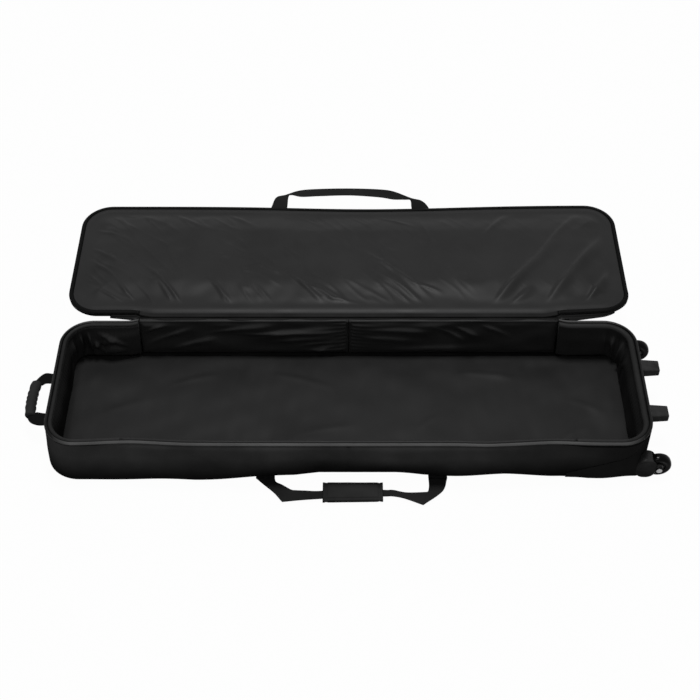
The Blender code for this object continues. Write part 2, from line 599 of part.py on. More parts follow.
for side, word in ((-1, "front"), (1, "rear")):
    centre = (WHEEL_X, side * WHEEL_Y, WHEEL_RADIUS)
    lathe(word + "_tyre", tyre_line, centre, TYRE)
    core_in = BEARING_RADIUS + GAP
    lathe(word + "_wheel_core", ring(core_in, CORE_RADIUS - GAP, -HUB_HALF, HUB_HALF), centre,
          BLACK_PLASTIC)
    bore = AXLE_RADIUS + GAP
    wheel_frame = along_y(*centre)
    near = ring(bore, BEARING_RADIUS, SPACER_HALF + GAP, HUB_HALF)
    far = ring(bore, BEARING_RADIUS, -HUB_HALF, -SPACER_HALF - GAP)
    lathe(word + "_wheel_bearing_left", near, centre, STEEL)
    lathe(word + "_wheel_bearing_right", far, centre, STEEL)
    lathe(word + "_bearing_spacer", ring(bore, BEARING_RADIUS - BEARING_WIDTH / 3, -SPACER_HALF,
                                         SPACER_HALF), centre, STEEL)
    house_end = WHEEL_X - NOSE_SHORT
    bm = box_mesh(house_end - HOUSING_LENGTH, house_end, side * WHEEL_Y - HOUSE_OUT,
                  side * WHEEL_Y + HOUSE_OUT, HOUSING_FLOOR, HOUSING_HEIGHT)
    across = [e for e in bm.edges if abs(e.verts[0].co.y - e.verts[1].co.y) > GAP]
    bmesh.ops.bevel(bm, geom=across, offset=HOUSING_ROUND, segments=CORNER_STEPS, profile=0.5,
                    affect="EDGES")
    rims = [e for e in bm.edges if abs(e.verts[0].co.y - e.verts[1].co.y) < GAP and e.calc_face_angle() > 1.0]
    bmesh.ops.bevel(bm, geom=rims, offset=HOUSING_EDGE, segments=EDGE_STEPS, profile=0.5, affect="EDGES")
    house = mesh_object(word + "_wheel_housing", bm, BLACK_PLASTIC)
    nose = rod(word + "_nose", -HOUSE_OUT, HOUSE_OUT, NOSE_RADIUS, wheel_frame)
    combine(house, nose, "UNION")
    well = rod(word + "_well", -CHEEK_OUT, CHEEK_OUT, WHEEL_RADIUS + WHEEL_ROOM, wheel_frame)
    combine(house, well, "DIFFERENCE")
    combine(house, corner_room, "DIFFERENCE")
    axle_hole = rod(word + "_axle_hole", -HOUSE_OUT - GAP, HOUSE_OUT + GAP, AXLE_RADIUS + GAP, wheel_frame)
    combine(house, axle_hole, "DIFFERENCE")
    head_in = side * (HOUSE_OUT + GAP)
    head_out = side * (HOUSE_OUT + GAP + AXLE_HEAD_HIGH)
    tail = -side * (HOUSE_OUT + GAP + NUT_HIGH + GAP)
    shaft = rod(word + "_axle_bolt", min(head_out, tail), max(head_out, tail), AXLE_RADIUS, wheel_frame, STEEL)
    head = rod(word + "_axle_head", min(head_in, head_out), max(head_in, head_out), AXLE_HEAD, wheel_frame)
    combine(shaft, head, "UNION")
    nut_y = side * WHEEL_Y - side * (HOUSE_OUT + GAP + NUT_HIGH / 2)
    loops = [circle(0.0, 0.0, AXLE_HEAD), circle(0.0, 0.0, AXLE_RADIUS + GAP)]
    nut_frame = along_y(WHEEL_X, nut_y, WHEEL_RADIUS)
    slab(word + "_axle_nut", loops, -NUT_HIGH / 2, NUT_HIGH / 2, STEEL, nut_frame)

# Zip sliders parked at the two ends of the hinge, each with a swinging pull
SLIDE_IN = GAP + TAPE + GAP
SLIDE_OUT = SLIDE_IN + 2 * COIL_RADIUS + GAP
SLIDE_SKIN = SLIDE_OUT + SLIDER_WALL
SLIDE_TOP = RIM_Z - 2 * GAP
SLIDE_LOW = SLIDE_TOP - SLIDER_HEIGHT
FLANGE_TOP = COIL_Z - COIL_RADIUS - GAP
BARREL = PULL_PIN + GAP + PULL_THICK
PIN_Y = HALF_W + SLIDE_SKIN + GAP + BARREL
PARK_X = HALF_HINGE + SLIDER_LENGTH / 2 + GAP
PULL_LOW = (SLIDE_TOP + SLIDE_LOW - PULL_HEIGHT) / 2
for side, word in ((-1, "left"), (1, "right")):
    profile = [(HALF_W + SLIDE_IN, SLIDE_LOW), (HALF_W + SLIDE_SKIN, SLIDE_LOW),
               (HALF_W + SLIDE_SKIN, SLIDE_TOP), (HALF_W + SLIDE_OUT, SLIDE_TOP),
               (HALF_W + SLIDE_OUT, FLANGE_TOP), (HALF_W + SLIDE_IN, FLANGE_TOP)]
    half = SLIDER_LENGTH / 2
    slider = slab(word + "_zip_slider", [profile], side * PARK_X - half, side * PARK_X + half, STEEL,
                  upright_frame)
    ear = box_outline(side * PARK_X - BARREL, side * PARK_X + BARREL,
                      HALF_W + SLIDE_SKIN - GAP, PIN_Y + PULL_PIN + GAP)
    ears = slab(word + "_ears", [ear], SLIDE_LOW, SLIDE_TOP, None, None, True)
    mouth = box_outline(side * PARK_X - half, side * PARK_X + half, HALF_W + SLIDE_SKIN, PIN_Y + half)
    gape = slab(word + "_mouth", [mouth], PULL_LOW - GAP, PULL_LOW + PULL_HEIGHT + GAP, None, None, True)
    pin = slab(word + "_pin", [circle(side * PARK_X, PIN_Y, PULL_PIN)], SLIDE_LOW + GAP, SLIDE_TOP - GAP,
               None, None, True)
    combine(slider, ears, "UNION")
    combine(slider, gape, "DIFFERENCE")
    combine(slider, pin, "UNION")
    lean = math.asin(PULL_THICK / 2 / BARREL)
    tail_end = side * PULL_LENGTH
    pull = arc(0.0, 0.0, BARREL, lean, 2 * (math.pi - lean), CORNER_STEPS + CORNER_STEPS)
    pull = [(side * x, y) for x, y in pull]
    pull = pull + [(tail_end, -PULL_THICK / 2), (tail_end, PULL_THICK / 2)]
    eye = circle(0.0, 0.0, PULL_PIN + GAP)
    pull_frame = Matrix.Translation((side * PARK_X, PIN_Y, 0.0))
    slab(word + "_zip_pull", [pull, eye], PULL_LOW, PULL_LOW + PULL_HEIGHT, STEEL, pull_frame)


# Empties on the joint axes carry the pieces that turn there
def hang(name, place, pieces):
    """Parent pieces to an empty without moving them."""
    axis = bpy.data.objects.new(name, None)
    parts.objects.link(axis)
    axis.location = place
    bpy.context.view_layer.update()
    for piece in pieces:
        obj = bpy.data.objects[piece]
        obj.parent = axis
        obj.matrix_parent_inverse = axis.matrix_world.inverted()


hang("lid_hinge_axis", (0.0, HINGE_Y, TRAY_HEIGHT), [o.name for o in parts.objects if o.name.startswith("lid_")])
hang("end_handle_axis", (GRAB_X, 0.0, GRAB_Z), ["end_handle_strap", "end_handle_grip"])
hang("tray_handle_axis", (0.0, AXIS_Y, TRAY_WEB_Z), ["tray_handle_webbing", "handle_grip_wrap"])
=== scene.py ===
"""Long padded wheeled bag for one board, lying open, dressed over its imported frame."""

import math

import bmesh
import bpy
import numpy as np
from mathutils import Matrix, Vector


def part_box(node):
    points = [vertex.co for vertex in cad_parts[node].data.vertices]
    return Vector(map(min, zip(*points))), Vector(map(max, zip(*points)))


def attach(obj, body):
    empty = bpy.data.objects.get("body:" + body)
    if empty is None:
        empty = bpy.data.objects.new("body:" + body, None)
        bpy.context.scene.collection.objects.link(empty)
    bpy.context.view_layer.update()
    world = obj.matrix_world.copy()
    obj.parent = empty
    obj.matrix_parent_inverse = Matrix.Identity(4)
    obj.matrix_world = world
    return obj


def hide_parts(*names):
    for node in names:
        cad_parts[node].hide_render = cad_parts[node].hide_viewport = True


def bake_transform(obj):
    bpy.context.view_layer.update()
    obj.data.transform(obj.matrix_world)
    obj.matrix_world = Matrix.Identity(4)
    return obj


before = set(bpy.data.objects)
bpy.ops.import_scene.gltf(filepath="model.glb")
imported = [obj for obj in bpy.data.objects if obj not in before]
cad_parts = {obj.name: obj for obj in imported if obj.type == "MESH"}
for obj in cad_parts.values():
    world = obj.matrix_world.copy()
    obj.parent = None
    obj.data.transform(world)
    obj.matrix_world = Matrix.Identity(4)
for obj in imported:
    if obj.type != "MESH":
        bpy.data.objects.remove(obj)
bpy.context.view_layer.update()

# Camera, floor and light
# The bag lies open on a white studio floor and is seen from the front and well above.
# A strong lamp over the lid and a weak one over the camera give soft light with a little sheen.
CAMERA_PLACE = (0.0037, -2.285, 2.686)
CAMERA_PITCH = math.radians(43.0)
CAMERA_LENS = 71.5
CAMERA_FAR = 60.0
WHITE = (1.0, 1.0, 1.0, 1.0)
SKY_LIGHT = 0.18
FLOOR_DROP = -0.0006
FLOOR_HALF = 9.0
FLOOR_WHITE = 0.975
FLOOR_GREY = (0.45, 0.45, 0.45, 1.0)

scene = bpy.context.scene
scene.view_settings.view_transform = "Standard"
camera_data = bpy.data.cameras.new("camera")
camera_data.lens = CAMERA_LENS
camera_data.clip_end = CAMERA_FAR
camera = bpy.data.objects.new("camera", camera_data)
camera.location = CAMERA_PLACE
camera.rotation_euler = (CAMERA_PITCH, 0.0, 0.0)
scene.collection.objects.link(camera)
scene.camera = camera


def soft_lamp(name, place, aim, size, power):
    """A square soft box at a place, turned to an aim."""
    data = bpy.data.lights.new(name, "AREA")
    data.shape = "SQUARE"
    data.size = size
    data.energy = power
    lamp = bpy.data.objects.new(name, data)
    lamp.location = place
    lamp.rotation_euler = (Vector(aim) - Vector(place)).to_track_quat("-Z", "Y").to_euler()
    scene.collection.objects.link(lamp)


def combine(tree, operation, first, second=0.0):
    """Two values of a finish put together, the second a plain number or another node's value."""
    node = tree.nodes.new("ShaderNodeMath")
    node.operation = operation
    tree.links.new(first, node.inputs[0])
    if isinstance(second, float):
        node.inputs[1].default_value = second
    else:
        tree.links.new(second, node.inputs[1])
    return node.outputs["Value"]


def seen_share(tree, most):
    """How much of a white backdrop is shown as it is, for what is seen, mirrored or seen through."""
    ray = tree.nodes.new("ShaderNodeLightPath").outputs
    either = combine(tree, "ADD", ray["Is Camera Ray"], ray["Is Glossy Ray"])
    any_of = combine(tree, "ADD", either, ray["Is Transmission Ray"])
    share = combine(tree, "MULTIPLY", any_of, most)
    share.node.use_clamp = True
    return share


soft_lamp("lamp_overhead", place=(0.1, 1.5, 7.0), aim=(0.0, 0.1, 0.1), size=1.5, power=460.0)
soft_lamp("lamp_front", place=(-0.4, -3.6, 4.6), aim=(0.0, 0.0, 0.1), size=2.0, power=70.0)

world = bpy.data.worlds.new("studio")
scene.world = world
world.use_nodes = True
sky = world.node_tree
sky.nodes.clear()
sky_lit = sky.nodes.new("ShaderNodeBackground")
sky_lit.inputs["Color"].default_value = WHITE
sky_lit.inputs["Strength"].default_value = SKY_LIGHT
sky_seen = sky.nodes.new("ShaderNodeBackground")
sky_seen.inputs["Color"].default_value = WHITE
sky_seen.inputs["Strength"].default_value = 1.0
sky_mix = sky.nodes.new("ShaderNodeMixShader")
sky_out = sky.nodes.new("ShaderNodeOutputWorld")
sky.links.new(seen_share(sky, 1.0), sky_mix.inputs["Fac"])
sky.links.new(sky_lit.outputs["Background"], sky_mix.inputs[1])
sky.links.new(sky_seen.outputs["Background"], sky_mix.inputs[2])
sky.links.new(sky_mix.outputs["Shader"], sky_out.inputs["Surface"])

floor_mesh = bpy.data.meshes.new("floor")
floor_corners = [(-FLOOR_HALF, -FLOOR_HALF), (FLOOR_HALF, -FLOOR_HALF),
                 (FLOOR_HALF, FLOOR_HALF), (-FLOOR_HALF, FLOOR_HALF)]
floor_mesh.from_pydata([(x, y, FLOOR_DROP) for x, y in floor_corners], [], [(0, 1, 2, 3)])
floor = bpy.data.objects.new("floor", floor_mesh)
scene.collection.objects.link(floor)
floor_paint = bpy.data.materials.new("floor_white")
floor_paint.use_nodes = True
floor_tree = floor_paint.node_tree
floor_shader = floor_tree.nodes["Principled BSDF"]
floor_shader.inputs["Base Color"].default_value = FLOOR_GREY
floor_shader.inputs["Roughness"].default_value = 0.9
floor_shader.inputs["Specular IOR Level"].default_value = 0.1
floor_glow = floor_tree.nodes.new("ShaderNodeEmission")
floor_glow.inputs["Color"].default_value = WHITE
floor_glow.inputs["Strength"].default_value = 1.0
floor_mix = floor_tree.nodes.new("ShaderNodeMixShader")
floor_tree.links.new(seen_share(floor_tree, FLOOR_WHITE), floor_mix.inputs["Fac"])
floor_tree.links.new(floor_shader.outputs["BSDF"], floor_mix.inputs[1])
floor_tree.links.new(floor_glow.outputs["Emission"], floor_mix.inputs[2])
floor_tree.links.new(floor_mix.outputs["Shader"], floor_tree.nodes["Material Output"].inputs["Surface"])
floor_mesh.materials.append(floor_paint)

# Tray cover
# A tub of heavy black woven polyester, sewn up from a floor and one long wall with a seam at the front's
# middle. It sags between its ends, and beside the wheels its lower corners are held square. Its colour has
# painted light: lighter than the plain cover, with painted shade darkening it toward its foot and the wheels.
RIM_CORNER = Vector(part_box("tray_rim_binding")[1])
HALF_L = RIM_CORNER.x
HALF_W = RIM_CORNER.y
RIM_Z = RIM_CORNER.z
HINGE_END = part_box("tray_hinge_strip")[1][0]
WALL_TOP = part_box("tray_outer_cover")[1][2]
CORNER = 0.078
COVER_FLOOR = 0.0022
BASE_ROUND = 0.009
BASE_INSETS = (0.034, 0.055, 0.076)
WALL_STEP = 0.007
WALL_LAP = 0.0004
WALL_PUFF = 0.0110
WALL_BELLY_Z = (0.0, 0.015, 0.035, 0.060, 0.085, 0.100, 0.112, 0.120, 0.126)
WALL_BELLY = (1.30, 1.30, 1.20, 1.10, 1.0, 0.92, 0.70, 0.38, 0.0)
WALL_WAVE = 0.35
WALL_WAVE_SIZE = 0.26
END_PUFF = 0.2
# Where the wall's swell calms down: in two steps toward the wheels, and at the top of both ends.
CALM_FIRST_X = (0.48, 0.58)
CALM_LAST_X = (0.60, 0.69)
CALM_SIDES_X = (0.30, 0.62)
CALM_SIDES_Z = (0.05, 0.11)
FRONT_SAG = 0.018
FRONT_LIFT = 0.005
FRONT_SAG_Z = 0.085
FRONT_SAG_X = (-0.37, -0.22, -0.13, -0.07, 0.0, 0.09, 0.18, 0.38, 0.51, 0.58)
FRONT_SAG_SHARE = (0.0, 0.40, 0.50, 0.90, 1.0, 0.95, 0.65, 0.75, 0.40, 0.0)
# Where the lower corner is held square: by height, and by the wall's turn to the front and to the end.
SQUARE_Z = (0.03, 0.085)
SQUARE_FROM = (0.60, 0.70)
SQUARE_TO = (0.50, 0.72)
BACK_LEAN = 0.0100
SEAM_DEPTH = 0.0018
SEAM_HALF = 0.0035
# Painted light and shade on the wall: a lighter grey than the plain cover, darkened toward its foot and the
# wheels.
WALL_LIT_GREY = 0.0335
WALL_FOOT_Z = (0.0187, 0.085)
WALL_FOOT_SHADE = 0.26
WHEEL_SHADE_X = (0.28, 0.68)
WHEEL_SHADE = 0.42
CLOTH_THREAD = 0.0011
THREAD_PACE = 0.6
THREAD_LIE = 0.09
WEAR_SCALE = 9.0
WEAR_DETAIL = 6.0
WEAR_RANGE = (0.3, 0.7)
SHINE_SPREAD = 0.05
# Where the slack front rim wanders: the middle, half length and depth of each bow.
RIM_SWAY = ((0.0, 0.75, -0.0045), (-0.52, 0.09, 0.0070), (0.49, 0.07, 0.0050), (0.33, 0.05, -0.0025))


def ease(value, low, high):
    """Zero below low, one above high, smooth between."""
    t = np.clip((value - low) / (high - low), 0.0, 1.0)
    return t * t * (3.0 - 2.0 * t)


def rumple(a, b, size, seed):
    """Soft random waves over two directions, about one high and about size across."""
    rng = np.random.default_rng(seed)
    total = np.zeros(np.broadcast(a, b).shape)
    for _ in range(26):
        turn, phase = rng.uniform(0.0, 2.0 * math.pi, 2)
        pace = 2.0 * math.pi / size * rng.uniform(0.25, 1.5)
        total = total + np.sin(pace * (a * math.cos(turn) + b * math.sin(turn)) + phase)
    return total / 5.0


def rim_run(spacing, whole=False):
    """Places and outward normals along the rim, from the hinge's left end round the front to its right."""
    flat_l = HALF_L - CORNER
    flat_w = HALF_W - CORNER
    stops = [((-HINGE_END, HALF_W), (-flat_l, HALF_W)), ((-HALF_L, flat_w), (-HALF_L, -flat_w)),
             ((-flat_l, -HALF_W), (flat_l, -HALF_W)), ((HALF_L, -flat_w), (HALF_L, flat_w)),
             ((flat_l, HALF_W), (HINGE_END, HALF_W))]
    normals = ((0.0, 1.0), (-1.0, 0.0), (0.0, -1.0), (1.0, 0.0), (0.0, 1.0))
    centres = ((-flat_l, flat_w), (-flat_l, -flat_w), (flat_l, -flat_w), (flat_l, flat_w))
    points = []
    outward = []
    for leg, (start, stop) in enumerate(stops):
        steps = max(2, round(math.dist(start, stop) / spacing))
        for i in range(steps + 1):
            t = i / steps
            points.append((start[0] + (stop[0] - start[0]) * t, start[1] + (stop[1] - start[1]) * t))
            outward.append(normals[leg])
        if leg < len(centres):
            bends = max(8, round(CORNER * math.pi / 2 / spacing))
            for i in range(1, bends):
                angle = math.pi / 2 * (leg + 1 + i / bends)
                outward.append((math.cos(angle), math.sin(angle)))
                points.append((centres[leg][0] + CORNER * math.cos(angle),
                               centres[leg][1] + CORNER * math.sin(angle)))
    if whole:
        steps = round(2 * HINGE_END / spacing)
        for i in range(1, steps):
            points.append((HINGE_END - 2 * HINGE_END * i / steps, HALF_W))
            outward.append((0.0, 1.0))
    return np.array(points), np.array(outward)


def rim_slack(points):
    """How far the rim stands out of its true line: slack along the front, drawn to the hinge at the back."""
    x, y = points[:, 0], points[:, 1]
    front = np.clip(-y - (HALF_W - CORNER), 0.0, CORNER) / CORNER
    sway = front * sum(depth * np.exp(-((x - place) / spread) ** 2) for place, spread, depth in RIM_SWAY)
    back = np.clip((y - (HALF_W - CORNER)) / CORNER, 0.0, 1.0)
    lean = BACK_LEAN * back * (1.0 - ease(np.abs(x), HINGE_END - 0.02, HINGE_END + 0.03))
    return lean - sway


def wall_inset(z):
    """How far the tray wall curves in under itself at a height."""
    drop = np.clip(BASE_ROUND - (z - COVER_FLOOR), 0.0, BASE_ROUND)
    return BASE_ROUND - np.sqrt(BASE_ROUND * BASE_ROUND - drop * drop)


def corner_square(outward, z):
    """How far the lower corner is pushed out square beside the wheels."""
    beside = np.clip(np.abs(outward[:, 1]), 0.5, 1.0)
    push = CORNER * (1.0 - beside) / beside * (1.0 - ease(outward[:, 0], *SQUARE_TO))
    push = push * (outward[:, 0] > 0.0) * ease(np.abs(outward[:, 1]), *SQUARE_FROM)
    return push * (1.0 - ease(z, *SQUARE_Z))


def wall_shape(points, outward, z):
    """How far the slack wall stands out at a height, and how far it lifts where it sags in at its foot."""
    front = np.clip(-outward[:, 1], 0.0, 1.0)
    x = points[:, 0]
    calm = 1.0 - 0.5 * ease(x, *CALM_FIRST_X) - 0.5 * ease(x, *CALM_LAST_X)
    calm = calm * (1.0 - 0.5 * ease(np.abs(x), *CALM_SIDES_X) * ease(z, *CALM_SIDES_Z))
    wave = 1.0 + WALL_WAVE * rumple(x, points[:, 1] + z * 1.2, WALL_WAVE_SIZE, 5)
    swell = WALL_PUFF * np.interp(z, WALL_BELLY_Z, WALL_BELLY) * wave
    swell = swell * (END_PUFF + (1.0 - END_PUFF) * front) * calm
    sag = ease(FRONT_SAG_Z - z, 0.0, FRONT_SAG_Z) * np.interp(x, FRONT_SAG_X, FRONT_SAG_SHARE) * front
    return swell + corner_square(outward, z) - wall_inset(z) - FRONT_SAG * sag, FRONT_LIFT * sag


def skin(name, rows, around=False):
    """A smooth mesh through rows of points, with lengths along it in metres as its UV map."""
    rows = np.asarray(rows, float)
    high, wide = rows.shape[:2]
    lap = np.concatenate([rows, rows[:, :1]], axis=1) if around else rows
    u = np.concatenate([[0.0], np.cumsum(np.linalg.norm(np.diff(lap, axis=1), axis=2).mean(axis=0))])
    v = np.concatenate([[0.0], np.cumsum(np.linalg.norm(np.diff(lap, axis=0), axis=2).mean(axis=1))])
    i, j = np.meshgrid(np.arange(high - 1), np.arange(lap.shape[1] - 1), indexing="ij")
    i, j = i.ravel(), j.ravel()
    row = np.stack([i, i, i + 1, i + 1], axis=1)
    col = np.stack([j, j + 1, j + 1, j], axis=1)
    mesh = bpy.data.meshes.new(name)
    mesh.from_pydata(rows.reshape(-1, 3).tolist(), [], (row * wide + col % wide).tolist())
    layer = mesh.uv_layers.new(name="weave")
    layer.data.foreach_set("uv", np.stack([u[col], v[row]], axis=2).ravel().astype(np.float32))
    mesh.shade_smooth()
    obj = bpy.data.objects.new(name, mesh)
    scene.collection.objects.link(obj)
    return obj


def close_up(obj, below=math.inf):
    """Fill the open ends of a piece that lie below a height and turn its faces outward."""
    bm = bmesh.new()
    bm.from_mesh(obj.data)
    open_edges = [e for e in bm.edges if e.is_boundary]
    bmesh.ops.holes_fill(bm, edges=[e for e in open_edges if max(v.co.z for v in e.verts) < below])
    bmesh.ops.recalc_face_normals(bm, faces=bm.faces[:])
    bm.to_mesh(obj.data)
    bm.free()
    return obj


def ramp(tree, value, start, stop, at_start, at_stop):
    """A value that goes from at_start to at_stop while another goes from start to stop."""
    node = tree.nodes.new("ShaderNodeMapRange")
    node.inputs["From Min"].default_value = start
    node.inputs["From Max"].default_value = stop
    node.inputs["To Min"].default_value = at_start
    node.inputs["To Max"].default_value = at_stop
    tree.links.new(value, node.inputs["Value"])
    return node.outputs["Result"]


def speckle(tree, place, scale, detail):
    """A noise pattern over a piece, from zero to one."""
    noise = tree.nodes.new("ShaderNodeTexNoise")
    noise.inputs["Scale"].default_value = scale
    noise.inputs["Detail"].default_value = detail
    tree.links.new(place, noise.inputs["Vector"])
    return noise.outputs["Fac"]


def emboss(tree, height, strength, depth):
    """Stand a pattern up in relief on a finish."""
    bump = tree.nodes.new("ShaderNodeBump")
    bump.inputs["Strength"].default_value = strength
    bump.inputs["Distance"].default_value = depth
    tree.links.new(height, bump.inputs["Height"])
    tree.links.new(bump.outputs["Normal"], tree.nodes["Principled BSDF"].inputs["Normal"])


def object_place(tree, place):
    """The three parts of a place on a piece."""
    spot = tree.nodes.new("ShaderNodeSeparateXYZ")
    tree.links.new(place, spot.inputs["Vector"])
    return spot.outputs


def woven_cloth(name, grey, thread, rough, gloss, relief, fade=0.25, painted_light=None):
    """Black woven cloth: crossed threads in relief, with faint fading, patches of shine and any painted light
    and shade.
    """
    mat = bpy.data.materials.new(name)
    mat.use_nodes = True
    tree = mat.node_tree
    shader = tree.nodes["Principled BSDF"]
    shader.inputs["Specular IOR Level"].default_value = gloss
    place = tree.nodes.new("ShaderNodeTexCoord").outputs
    heights = []
    for pace in ((1.0, THREAD_LIE, 1.0), (THREAD_LIE, 1.0, 1.0)):
        lie = tree.nodes.new("ShaderNodeMapping")
        lie.inputs["Scale"].default_value = pace
        tree.links.new(place["UV"], lie.inputs["Vector"])
        heights.append(speckle(tree, lie.outputs["Vector"], THREAD_PACE / thread, 1.0))
    emboss(tree, combine(tree, "ADD", *heights), relief, thread / 3.0)
    wear = speckle(tree, place["Object"], WEAR_SCALE, WEAR_DETAIL)
    tone = ramp(tree, wear, *WEAR_RANGE, grey * (1.0 - fade), grey * (1.0 + fade))
    if painted_light:
        tone = combine(tree, "MULTIPLY", tone, painted_light(tree, object_place(tree, place["Object"])))
    tree.links.new(tone, shader.inputs["Base Color"])
    shine = ramp(tree, wear, *WEAR_RANGE, rough - SHINE_SPREAD, rough + SHINE_SPREAD)
    tree.links.new(shine, shader.inputs["Roughness"])
    return mat


def paint(obj, mat):
    """Give a piece one material in place of any it had."""
    obj.data.materials.clear()
    obj.data.materials.append(mat)


def dress(obj, mat, body, slot, *nodes):
    """Give a piece its material and let it ride on its body in place of its CAD nodes."""
    paint(obj, mat)
    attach(obj, body)
    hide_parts(*nodes)


def cover_painted_shade(tree, spot):
    """Painted shade: the cover is darker at its foot and toward the wheels."""
    foot = ramp(tree, spot["Z"], *WALL_FOOT_Z, WALL_FOOT_SHADE, 1.0)
    shade_to_wheels = ramp(tree, spot["X"], *WHEEL_SHADE_X, 1.0, WHEEL_SHADE)
    return combine(tree, "MULTIPLY", foot, shade_to_wheels)


# The wall's cloth is lighter than the plain cover as painted light, with painted shade at its foot and toward
# the wheels.
cover_cloth = woven_cloth("cover_cloth", grey=WALL_LIT_GREY, thread=CLOTH_THREAD, rough=0.62, gloss=0.0,
                          relief=0.35, painted_light=cover_painted_shade)
wall_at, wall_out = rim_run(WALL_STEP, whole=True)
base_turn = np.linspace(0.12, 1.0, 9) * math.pi / 2.0
wall_heights = np.concatenate([np.linspace(WALL_TOP + WALL_LAP, BASE_ROUND + COVER_FLOOR, 18),
                               COVER_FLOOR + BASE_ROUND * (1.0 - np.sin(base_turn))])
front_seam = SEAM_DEPTH * np.exp(-(wall_at[:, 0] / SEAM_HALF) ** 2) * np.clip(-wall_out[:, 1], 0.0, 1.0)
tray_rows = []
for z in wall_heights:
    stand, lift = wall_shape(wall_at, wall_out, z)
    stand = stand + rim_slack(wall_at) * ease(z, 0.03, WALL_TOP) - front_seam
    tray_rows.append(np.column_stack([wall_at + wall_out * stand[:, None], z + lift]))
for inset in BASE_INSETS:
    tray_rows.append(np.column_stack([wall_at - wall_out * inset, np.full(len(wall_at), COVER_FLOOR)]))
tray_cover = close_up(skin("tray_cover_cloth", tray_rows, around=True), below=BASE_ROUND)
dress(tray_cover, cover_cloth, "tray", "cover_cloth", "tray_outer_cover")

# Tray floor
# A foam mat covered in smooth black lining cloth, laid on the bottom board and sewn in along its edge.
# The cloth is a little slack, so it lies in faint waves and creases.
FLOOR_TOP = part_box("floor_pad")[1][2]
FLOOR_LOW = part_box("floor_pad")[0][2]
FLOOR_IN = HALF_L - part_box("floor_pad")[1][0]
FLOOR_CORNER = 0.034
MAT_STEP = 0.006
MAT_SHORT = 0.017
EDGE_ROLL = 0.010
EDGE_DROP = 0.0035
MAT_WAVE = 0.0010
MAT_RIPPLE = 0.0004
MAT_FOLD = 0.0013
MAT_BOW = 0.006
CREASE_STEEP = 0.55
CREASE_FADE = (-0.12, 0.38)
LINING_GREY = 0.0125
LINING_THREAD = 0.0006
# Start, end and width of each crease in the mat.
FLOOR_CREASES = (
    ((-0.46, 0.075), (-0.33, 0.115), 0.012), ((-0.20, 0.118), (-0.03, 0.062), 0.013),
    ((-0.13, -0.085), (0.02, -0.055), 0.010), ((0.17, -0.075), (0.23, -0.02), 0.010),
    ((0.28, 0.12), (0.44, 0.10), 0.012), ((0.53, -0.10), (0.60, -0.06), 0.010),
    ((-0.63, -0.02), (-0.50, 0.03), 0.014), ((0.55, 0.03), (0.65, -0.02), 0.012))


def closer_at_edges(count):
    """Steps from minus one to one, drawn a little closer together toward both ends."""
    t = np.linspace(-1.0, 1.0, count + 1)
    return 0.55 * t + 0.45 * (1.5 * t - 0.5 * t ** 3)


def pad_plan(half_l, half_w, corner, spacing):
    """A grid of places over a plan with round corners, and how far each lies in from its edge."""
    y = half_w * closer_at_edges(round(2.0 * half_w / spacing))
    past = np.clip(np.abs(y) - (half_w - corner), 0.0, corner)
    reach = half_l - corner + np.sqrt(corner * corner - past * past)
    x = reach[:, None] * closer_at_edges(round(2.0 * half_l / spacing))[None, :]
    y = np.repeat(y[:, None], x.shape[1], axis=1)
    over_x = np.abs(x) - (half_l - corner)
    over_y = np.abs(y) - (half_w - corner)
    bend = np.hypot(np.maximum(over_x, 0.0), np.maximum(over_y, 0.0))
    return x, y, corner - bend - np.minimum(np.maximum(over_x, over_y), 0.0)


def crease(x, y, start, end, width, bow=0.0):
    """One soft fold, one high along its middle, steeper on one side and fading at both ends."""
    length = math.dist(start, end)
    ux, uy = (end[0] - start[0]) / length, (end[1] - start[1]) / length
    t = ((x - start[0]) * ux + (y - start[1]) * uy) / length
    side = (y - start[1]) * ux - (x - start[0]) * uy - 4.0 * bow * t * (1.0 - t)
    spread = np.where(side > 0.0, width * CREASE_STEEP, width) * (0.6 + 0.6 * np.clip(t, 0.0, 1.0))
    return ease(np.minimum(t, 1.0 - t), *CREASE_FADE) * np.exp(-(side / spread) ** 2)


def padded_top(name, x, y, z, low):
    """A closed pad with a shaped top, straight sides and a flat underside."""
    x = np.pad(x, 1, mode="edge")
    y = np.pad(y, 1, mode="edge")
    top = np.pad(z, 1, mode="edge")
    top[[0, -1], :] = low
    top[:, [0, -1]] = low
    return close_up(skin(name, np.stack([x, y, top], axis=2)))


# The mat's cloth is the lining cloth darkened as painted shade.
mat_shaded_cloth = woven_cloth("mat_shaded_cloth", grey=LINING_GREY * 0.86, thread=LINING_THREAD, rough=0.42, gloss=0.06,
                        relief=0.12, fade=0.12)
mat_x, mat_y, mat_in = pad_plan(HALF_L - FLOOR_IN, HALF_W - FLOOR_IN, FLOOR_CORNER, MAT_STEP)
mat_y = mat_y + MAT_SHORT * ease(-mat_y, HALF_W - 0.07, HALF_W - 0.01)
mat_z = FLOOR_TOP - EDGE_DROP * np.exp(-(mat_in / EDGE_ROLL) ** 2)
mat_z = mat_z + ease(mat_in, 0.0, 0.05) * (MAT_WAVE * rumple(mat_x * 0.7, mat_y, 0.16, 11)
                                           + MAT_RIPPLE * rumple(mat_x, mat_y * 0.6, 0.055, 12))
for start, end, width in FLOOR_CREASES:
    mat_z = mat_z + MAT_FOLD * crease(mat_x, mat_y, start, end, width, MAT_BOW)
floor_mat = padded_top("tray_floor_mat", mat_x, mat_y, mat_z, FLOOR_LOW)
dress(floor_mat, mat_shaded_cloth, "tray", "lining_cloth", "floor_pad")

